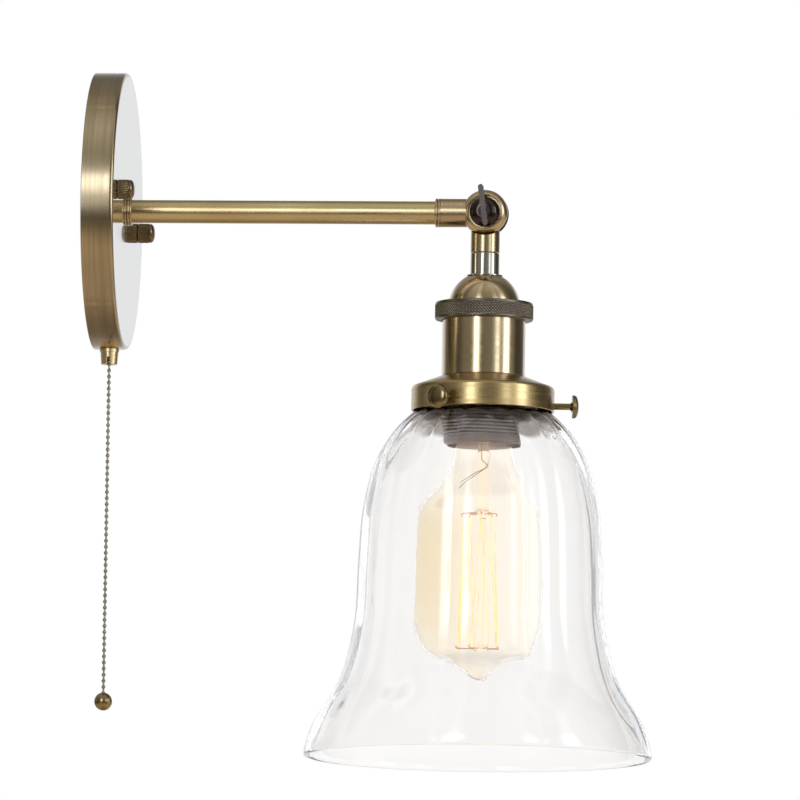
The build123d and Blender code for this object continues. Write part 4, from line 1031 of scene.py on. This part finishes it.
class SCONCE_OT_holder(bpy.types.Operator):
    """Lamp holder: dome, knurled ring, polished body and threaded skirt"""

    bl_idname = "sconce.holder"
    bl_label = "Lamp holder"

    def execute(self, context):
        """Make the lamp holder."""
        low, high, flange = turned_span("holder_cap")
        bore, wall, flat = 5.05, 1.2, 7.7
        foot, dome = low.z + wall, flange - 1.6
        inner = dome - wall
        outline = [(bore, high.z), (flat - 0.4, high.z), (flat - 0.1, high.z - 0.04)]
        outline += arc((0, foot), (dome, dome), math.acos(flat / dome), 0, 24)[1:]
        outline += rounded([(flange, foot, 0.25), (flange, low.z, 0.25), (inner, low.z)])
        outline += arc((0, foot), (inner, inner), 0, math.asin((high.z - wall - foot) / inner), 24)
        outline.append((bore, high.z - wall))
        turned("holder_cap_spun", outline, 160, "head", "holder_brass", "holder_cap", at=on_head)
        self.cut_ring(context.scene.sconce_shapes, foot)

        low, high, radius = turned_span("holder_body")
        hollow = radius - 1.4
        outline = rounded([
            (hollow, high.z), (radius, high.z, 0.2), (radius, low.z, 0.3), (hollow, low.z)
        ])
        turned("holder_body_turned", outline, 160, "head", "holder_brass", "holder_body",
               at=on_head)
        self.cut_skirt(low.z)
        return {"FINISHED"}

    def cut_ring(self, shapes, shelf):
        """The ring with its diamond knurl between two plain edges, on the dome's flange."""
        low, high, radius = turned_span("knurled_ring")
        over_dome, over_body, plain = 16.0, 18.05, radius - 0.25
        top, foot = high.z - 1.3, low.z + 0.75
        outline = rounded([(over_dome, high.z), (plain, high.z, 0.8), (plain, top + 0.12, 0.1)])
        outline += wall_rows(radius, top, foot, 44)
        outline += rounded([(plain, foot - 0.12, 0.1), (plain, low.z, 0.5), (over_body, low.z)])
        outline += [(over_body, shelf), (over_dome, shelf)]
        count = shapes.knurl_count
        mask = on_wall(radius, foot + 0.05, top - 0.05)
        ring = lathe("knurled_ring_cut", outline, count * KNURL_POINTS, mask)
        tooth = TURN * radius * MM / count
        ridged(ring, "dark_bronze", count=count, lead=TURN / tooth, depth=shapes.knurl_depth,
               crossed=True)
        place(ring, "head", "dark_bronze", "knurled_ring", at=on_head)
        ring.data.shade_smooth()

    def cut_skirt(self, top):
        """The skirt with its rolled thread, which runs out before both of its ends."""
        low, high, spigot = turned_span("threaded_skirt")
        bore, radius, run_out, pitch = 15.65, 17.0, 3.0, 1.5
        thread_top, thread_foot = top - run_out, low.z + run_out
        neck = min(spigot, radius)
        outline = [(bore, high.z), (neck, high.z), (neck, top), (radius, top - 0.05)]
        outline += wall_rows(radius, thread_top, thread_foot, 160)
        outline += [(radius, low.z + 1.2), (radius - 1.2, low.z), (bore, low.z)]
        mask = on_wall(radius, thread_foot + 0.3, thread_top - 0.3)
        skirt = lathe("threaded_skirt_cut", outline, 96, mask)
        ridged(skirt, "skirt_grey", count=1, lead=TURN / (pitch * MM), depth=0.0003)
        place(settle(skirt), "head", "skirt_grey", "threaded_skirt", at=on_head)
        # The bore's faces take the pink finish: a painted glint of the bulb's cap.
        dress_faces(
            skirt, "skirt_mouth_glint",
            lambda spot, normal: math.hypot(spot.x - knuckle_x, spot.y) < bore + 0.1,
        )


class SCONCE_OT_gallery(bpy.types.Operator):
    """Satin carrier of the glass with its three thumb screws"""

    bl_idname = "sconce.gallery"
    bl_label = "Gallery"

    def execute(self, context):
        """Make the gallery."""
        low, high, radius = turned_span("gallery")
        wall, hole, neck = 1.0, 17.05, 18.0
        shoulder = high.z - 4.8
        outline = rounded([
            (hole, high.z), (neck, high.z, 0.3), (radius, shoulder, 2.0), (radius, low.z, 0.45),
            (radius - wall, low.z, 0.45), (radius - wall, shoulder - 0.7, 1.0),
            (neck, high.z - wall, 0.3), (hole, high.z - wall),
        ], 8)
        carrier = turned("gallery_spun", outline, 192, "head", "holder_brass", "gallery",
                         finish="gallery_brass", at=on_head)

        def inside(spot, normal):
            """Whether a face looks at the glass, inwards or down within the wall: such faces take
            the painted shade.
            """
            out = Vector((spot.x - knuckle_x, spot.y))
            return out.length < radius - wall + 0.1 and (out.dot(normal.xy) < 0 or normal.z < -0.5)

        # The faces inside the carrier take the dark finish: painted shade of its hollow.
        dress_faces(carrier, "gallery_inside", inside)
        self.turn_screws()
        return {"FINISHED"}

    def turn_screws(self):
        """The thumb screws, each turned along Z with its tip towards the glass."""
        tip, back, reach, edge = 27.5, 38.6, 41.5, 5.1
        crown = back + 1.15
        outline = [
            (0, tip), (1.1, tip), (1.4, tip + 0.3), (1.4, back - 0.9), (1.9, back - 0.35),
            (2.3, back),
        ]
        outline += rounded([
            (edge - 0.2, back, 0.3), (edge, back + 0.55, 0.2), (edge - 0.1, back + 1.0, 0.3)
        ])
        outline += arc((0, crown), (edge * 0.97, reach - crown), 0, QUARTER, 14)[1:-1]
        outline.append((0, reach))
        for name in ("shade_screw_1", "shade_screw_2", "shade_screw_3"):
            out = middle(name) - Vector((knuckle_x, 0, 0))
            turn = Matrix.Rotation(math.atan2(out.y, out.x), 4, "Z") @ ALONG_ARM
            turned(f"{name}_turned", outline, 64, name, "screw_brass", name,
                   at=seat(knuckle_x, 0, out.z, turn))


class SCONCE_OT_shade(bpy.types.Operator):
    """Clear bell with flutes pressed into its outside"""

    bl_idname = "sconce.shade"
    bl_label = "Glass shade"

    def execute(self, context):
        """Make the bell."""
        shapes = context.scene.sconce_shapes
        top = span("glass_shade")[1].z
        wall, lip, neck = 2.3, 28.5, 27.2
        lip_end, neck_end = top - 3.4, -84.8
        outside = fair_curve([
            (neck, neck_end), (30.2, -87.2), (36.9, -93.6), (45.3, -106.4), (50.7, -125.9),
            (52.9, -152.0), (54.2, -178.0), (60.7, -204.0), (72.1, -223.6), (75.1, -235.2),
        ], 12, (0, -1), (0, -1))
        inside = inset(outside, wall)
        outline = rounded([
            (neck - wall, top, 0.4), (lip, top, 0.6), (lip, lip_end, 0.6), (neck, lip_end, 0.5)
        ])
        foot = ((outside[-1][0] + inside[-1][0]) / 2, outside[-1][1])
        rim = arc(foot, (wall / 2, -wall / 2), 0, math.pi, 10)[1:-1]
        outline += outside + rim + inside[::-1]

        faint, start_fade, end_fade = 0.3, 1.5, 10.0
        flutes_top, flutes_foot = -84.9, -236.4
        inner_spots = set(inside)

        def flute_mask(radius, height):
            """Full on the bell's outside, faint inside, and fading at the neck and the rim."""
            start = min(max((flutes_top - height) / start_fade, 0), 1)
            end = min(max((height - flutes_foot) / end_fade, faint), 1)
            share = faint if (radius, height) in inner_spots else 1.0
            return start * start * (3 - 2 * start) * end * share

        count = shapes.flute_count
        bell = lathe("glass_shade_fluted", outline, count * FLUTE_POINTS, flute_mask)
        ridged(bell, "shade_glass", count=count, depth=shapes.flute_depth)
        bell.data.shade_smooth()
        place(bell, "head", "shade_glass", "glass_shade", at=on_head)
        return {"FINISHED"}


class SCONCE_OT_bulb(bpy.types.Operator):
    """Lit squirrel cage bulb: cap, amber envelope, glass mount, hooks and filament"""

    bl_idname = "sconce.bulb"
    bl_label = "Bulb"

    def execute(self, context):
        """Make the bulb."""
        self.blow_envelope()
        self.roll_cap()
        self.press_mount()
        self.wire_mount()
        return {"FINISHED"}

    def blow_envelope(self):
        """The envelope, with the pip where it was sealed."""
        top = span("bulb_glass")[1].z
        wall, neck, neck_end, pip = 0.8, 11.95, top - 3.2, -203.6
        skin = fair_curve([
            (12.2, -91.1), (12.4, -99.0), (13.6, -108.0), (18.6, -118.0), (24.6, -127.0),
            (27.2, -142.0), (27.6, -164.0), (27.0, -181.0), (22.6, -191.4), (11.0, -196.3),
            (7.0, -198.9), (4.2, -202.2), (0, pip),
        ], 10, (0, -1), (-1, 0))
        inside = [spot for spot in inset(skin, wall)[:-1] if spot[0] >= 0] + [(0, pip + wall)]
        outline = [(neck, top), (neck, neck_end)] + skin + inside[::-1]
        outline += [(neck - wall, neck_end), (neck - wall, top)]
        glass = lathe("bulb_envelope", outline, 128)
        glass.data.shade_smooth()
        place(glass, "bulb", "bulb_glass", "bulb_glass", at=on_head)

    def roll_cap(self):
        """The screw cap with its rolled thread."""
        low, high, radius = turned_span("bulb_base")
        pitch = 3.6
        start, end = high.z - 0.8, low.z + 4.6
        outline = [(radius - 1.2, high.z), (radius - 0.9, high.z)]
        outline += wall_rows(radius, start, end, 90)
        outline += [(radius, low.z + 0.25), (radius - 0.25, low.z), (radius - 1.2, low.z)]
        cap = lathe("bulb_cap_rolled", outline, 96, on_wall(radius, end + 0.2, math.inf))
        ridged(cap, "bulb_nickel", count=1, lead=TURN / (pitch * MM), depth=0.0008, roundness=2.0)
        place(settle(cap), "bulb", "bulb_nickel", "bulb_base", at=on_head)

    def press_mount(self):
        """The mount: a flare, a pinch, a rod and the button that holds the lower hooks."""
        top = -87.5
        outline = [
            (0, top), (10.8, top), (10.4, top - 1.5), (6.2, top - 5.0), (3.4, top - 9.5),
            (2.3, top - 13.0), (2.2, -127.5), (2.6, -129.0), (3.2, -129.8), (3.2, -131.2),
            (2.6, -132.0), (1.2, -132.6), (0.9, -134.0), (0.9, -187.0), (1.5, -188.0),
            (2.9, -188.7), (3.1, -190.0), (2.6, -191.0), (0, -191.4),
        ]
        turned("bulb_mount_pressed", outline, 48, "bulb", "mount_glass", "bulb_stem", at=on_head)

    def wire_mount(self):
        """Hooks on the mount, its lead wires, and the filament to and fro between the hooks."""
        hooks, button, hook_tip, hook_rise, sag = 8, 2.6, 0.6, 1.2, 0.55
        top_reach, foot_reach, top, foot = 7.0, 9.0, -130.5, -189.5

        def spot(reach, step, height):
            """A place round the mount, step hooks on from the first."""
            angle = TURN * step / hooks
            return (knuckle_x + reach * math.cos(angle), reach * math.sin(angle), height)

        lines = []
        for hook in range(hooks):
            for step, reach, height, rise in (
                (hook, top_reach, top, -hook_rise), (hook + 0.5, foot_reach, foot, hook_rise)
            ):
                end = reach + hook_tip
                lines.append([
                    spot(button, step, height), spot(end, step, height),
                    spot(end, step, height + rise),
                ])
        supports = wires("bulb_hooks", lines, 0.22, 0.4, "support_wire")
        place(supports, "bulb", "support_wire", "bulb_supports")

        lead_y = -3.4
        leads = (
            ((3.9, -88.5), (3.9, -106.0), (0.6, -111.5), (-5.4, -116.5), (-8.6, -120.2)),
            ((-0.6, -88.5), (-0.6, -107.5), (2.4, -110.5), (-3.0, -113.4), (-8.0, -117.6)),
        )
        lines = [[(knuckle_x + x, lead_y, z) for x, z in lead] for lead in leads]
        lead_wires = wires("bulb_lead_wires", lines, 0.15, 0.8, "lead_wire")
        place(lead_wires, "bulb", "support_wire", finish="lead_wire")

        zigzag = [
            [
                spot(top_reach, (strand + 1) // 2, top - sag),
                spot(foot_reach, strand // 2 + 0.5, foot + sag),
            ]
            for strand in range(2 * hooks)
        ]
        filament = wires("bulb_filament_wire", zigzag, 0.13, 0, "filament")
        place(filament, "bulb", "filament", "bulb_filament")


class SCONCE_OT_inner_parts(bpy.types.Operator):
    """Finishes for what the canopy, the holder and the bulb hide"""

    bl_idname = "sconce.inner_parts"
    bl_label = "Inner parts"

    def execute(self, context):
        """Give every hidden node its finish."""
        hidden = {
            "plated_steel": ("wall_bracket", "canopy_studs", "stud_nuts", "switch_lock_nut",
                             "arm_washer", "arm_lock_nut", "terminal_block_screws"),
            "earth_brass": ("earth_screw",),
            "switch_plastic": ("switch_body",),
            "terminal_plastic": ("terminal_block",),
            "fibre": ("friction_washers",),
            "porcelain": ("socket_insert",),
            "bright_brass": ("screw_shell", "centre_contact", "socket_screws", "stem_nipple",
                             "cap_lock_nut"),
            "skirt_grey": ("shade_ring",),
            "wire_brown": ("live_wire",),
            "wire_black": ("switched_wire", "head_switched_wire"),
            "wire_blue": ("neutral_wire", "head_neutral_wire"),
            "wire_green": ("earth_wire",),
            "bulb_vitrite": ("bulb_insulator",),
            "bulb_nickel": ("bulb_contact",),
        }
        for finish, names in hidden.items():
            for name in names:
                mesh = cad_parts[name].data
                mesh.materials.clear()
                mesh.materials.append(finishes[finish])
        return {"FINISHED"}


# The studio as the metal reflects it: each light's brightness by azimuth, then by elevation,
# both in degrees. The camera stands near azimuth 0, the arm points to 90, the wall is at -90.
WALLS = (
    (-168, 0.8), (-146, 1.6), (-126, 1.5), (-109, 1.2), (-95, 3.2), (-84, 3.0), (-73, 0.8),
    (-62, 1.2), (-52, 2.2), (-34, 2.4), (0, 1.5), (16, 2.0), (30, 2.0), (54, 2.0), (80, 1.6),
    (90, 1.1), (101, 0.7), (114, 0.6), (130, 0.9), (150, 1.2), (168, 0.8),
), (
    (-90, 0.24), (-72, 0.31), (-53, 0.35), (-38, 0.36), (-28, 0.3), (-20, 0.16), (-12, 0.07),
    (-4, 0.09), (8, 0.13), (28, 0.16), (40, 0.2), (60, 0.29), (90, 0.3),
)
STRIPS = (
    (-27, 0.0), (-22, 1.0), (-20, 4.2), (-12, 4.2), (-9, 1.2), (-4, 0.0), (28, 0.05), (36, 0.5),
    (40, 2.0), (48, 2.0), (51, 0.3), (59, 0.3), (63, 2.0), (67, 4.2), (76, 4.2), (80, 1.2),
    (84, 0.0),
), (
    (-8, 0.0), (1, 1.0), (22, 1.0), (31, 0.25), (45, 0.09), (75, 0.08), (85, 0.0),
)
FRONT = (
    (-17, 0.0), (-12, 1.0), (-6, 1.0), (-1, 0.0),
), (
    (6, 0.0), (11, 1.5), (15, 2.8), (22, 2.8), (26, 0.4), (31, 0.1), (38, 0.0),
)
BACK = (
    (-140, 1.0), (-122, 0.0), (142, 0.0), (154, 1.0),
), (
    (-90, 0.0), (-62, 0.0), (-46, 0.02), (-23, 0.3), (-12, 0.76), (16, 0.76), (26, 0.22),
    (40, 0.03), (90, 0.0),
)
SIDE = (
    (62, 0.0), (84, 1.0), (142, 1.0), (154, 0.0),
), (
    (-80, 0.1), (-45, 0.5), (-18, 0.62), (-7, 0.4), (-1, 0.0),
)
DOOR = (
    (80, 0.0), (86, 1.0), (96, 1.0), (102, 0.0),
), (
    (-14, 0.0), (-8, 0.5), (2, 0.45), (8, 0.0),
)
COOL_BOXES = (0.94, 1.04, 1.24)
COOL_BACK = (0.97, 1.0, 1.06)
WARM_FLOOR = (1.0, 0.86, 0.74, 1)
PALE_WALLS = (1.0, 0.99, 0.97, 1)


class SCONCE_OT_stage(bpy.types.Operator):
    """Pale floor, soft box and a white studio"""

    bl_idname = "sconce.stage"
    bl_label = "Stage"

    def execute(self, context):
        """Light the studio."""
        scene = context.scene
        scene.view_settings.view_transform = "Standard"
        scene.view_settings.look = "None"
        scene.cycles.max_bounces = 24
        scene.cycles.transmission_bounces = 24
        half, drop = 200.0, -6.0
        mesh = bpy.data.meshes.new("studio_floor")
        corners = [(x * half, y * half, drop) for x, y in ((-1, -1), (1, -1), (1, 1), (-1, 1))]
        mesh.from_pydata(corners, [], [(0, 1, 2, 3)])
        floor = new_object("studio_floor", mesh)
        look = {"Base Color": linear("#F4F4F3"), "Roughness": 0.9}
        mesh.materials.append(finish_tree("pale_floor", look)[0])
        floor.visible_glossy = False

        light = bpy.data.lights.new("soft_box_above", "AREA")
        light.shape = "DISK"
        light.size = 1.6
        light.energy = 9.0
        box = new_object("soft_box_above", light)
        box.location = (0.1, -0.6, 2.2)
        box.rotation_euler = (math.radians(-14), 0, 0)
        box.visible_camera = False
        box.visible_glossy = False
        box.visible_transmission = False

        world = bpy.data.worlds.new("white_studio")
        world.use_nodes = True
        scene.world = world
        world.node_tree.nodes.clear()
        self.paint_world(world.node_tree)
        return {"FINISHED"}

    def paint_world(self, tree):
        """Lights for what reflects, plain white for the camera, the glass and the shadows."""
        way = node(tree, "ShaderNodeTexCoord").outputs["Generated"]
        axes = node(tree, "ShaderNodeSeparateXYZ", {0: way}).outputs
        to_degrees = 180 / math.pi
        azimuth = maths(tree, "ARCTAN2", axes["X"], times(tree, axes["Y"], -1.0))
        azimuth = times(tree, azimuth, to_degrees)
        rise = times(tree, maths(tree, "ARCSINE", axes["Z"]), to_degrees)

        def lit(*lights):
            """The brightness of some lights together."""
            total = None
            for across, up in lights:
                one = times(tree, ramp(tree, azimuth, 180, across), ramp(tree, rise, 90, up))
                total = one if total is None else maths(tree, "ADD", total, one)
            return total

        warmth = spread(tree, rise, 0.0, 1.0, (-24, 4))
        tint = blend_colours(tree, warmth, WARM_FLOOR, PALE_WALLS)
        seen = vectors(tree, "SCALE", {0: tint, "Scale": lit(WALLS, SIDE, DOOR)})
        for bright, colour in ((lit(STRIPS, FRONT), COOL_BOXES), (lit(BACK), COOL_BACK)):
            cool = vectors(tree, "SCALE", {0: colour, "Scale": bright})
            seen = vectors(tree, "ADD", {0: seen, 1: cool})
        ray = node(tree, "ShaderNodeLightPath").outputs
        plain = maths(tree, "MAXIMUM", ray["Is Camera Ray"], ray["Is Transmission Ray"])
        plain = maths(tree, "MAXIMUM", plain, ray["Is Diffuse Ray"])
        studio, white = (
            node(tree, "ShaderNodeBackground", {"Color": colour, "Strength": 1.0}).outputs[0]
            for colour in (seen, (1, 1, 1, 1))
        )
        shown = node(tree, "ShaderNodeMixShader", {0: plain, 1: studio, 2: white})
        node(tree, "ShaderNodeOutputWorld", {"Surface": shown.outputs[0]})


# ---- Panel and build ----------------------------------------------------------------


class SCONCE_PT_panel(bpy.types.Panel):
    """Sizes, colours and the steps of the build"""

    bl_label = "Sconce"
    bl_idname = "SCONCE_PT_panel"
    bl_space_type = "VIEW_3D"
    bl_region_type = "UI"
    bl_category = "Sconce"

    def draw(self, context):
        """List the settings and the steps."""
        for group in (context.scene.sconce_shapes, context.scene.sconce_colours):
            box = self.layout.box()
            for setting in group.__annotations__:
                box.prop(group, setting)
        for step in steps:
            self.layout.operator(step.bl_idname)


groups = (SconceShapes, SconceColours)
steps = (
    SCONCE_OT_camera, SCONCE_OT_pull_chain, SCONCE_OT_canopy, SCONCE_OT_arm, SCONCE_OT_knuckle,
    SCONCE_OT_stem, SCONCE_OT_holder, SCONCE_OT_gallery, SCONCE_OT_shade, SCONCE_OT_bulb,
    SCONCE_OT_inner_parts, SCONCE_OT_stage,
)


def register():
    """Register the settings, the steps and the panel."""
    for kind in (*groups, *steps, SCONCE_PT_panel):
        bpy.utils.register_class(kind)
    bpy.types.Scene.sconce_shapes = bpy.props.PointerProperty(type=SconceShapes)
    bpy.types.Scene.sconce_colours = bpy.props.PointerProperty(type=SconceColours)


def unregister():
    """Take everything out again."""
    del bpy.types.Scene.sconce_colours
    del bpy.types.Scene.sconce_shapes
    for kind in reversed((*groups, *steps, SCONCE_PT_panel)):
        bpy.utils.unregister_class(kind)


def main():
    """Build the sconce and its studio."""
    register()
    make_finishes()
    for step in steps:
        group, action = step.bl_idname.split(".")
        getattr(getattr(bpy.ops, group), action)()


if __name__ == "__main__":
    main()
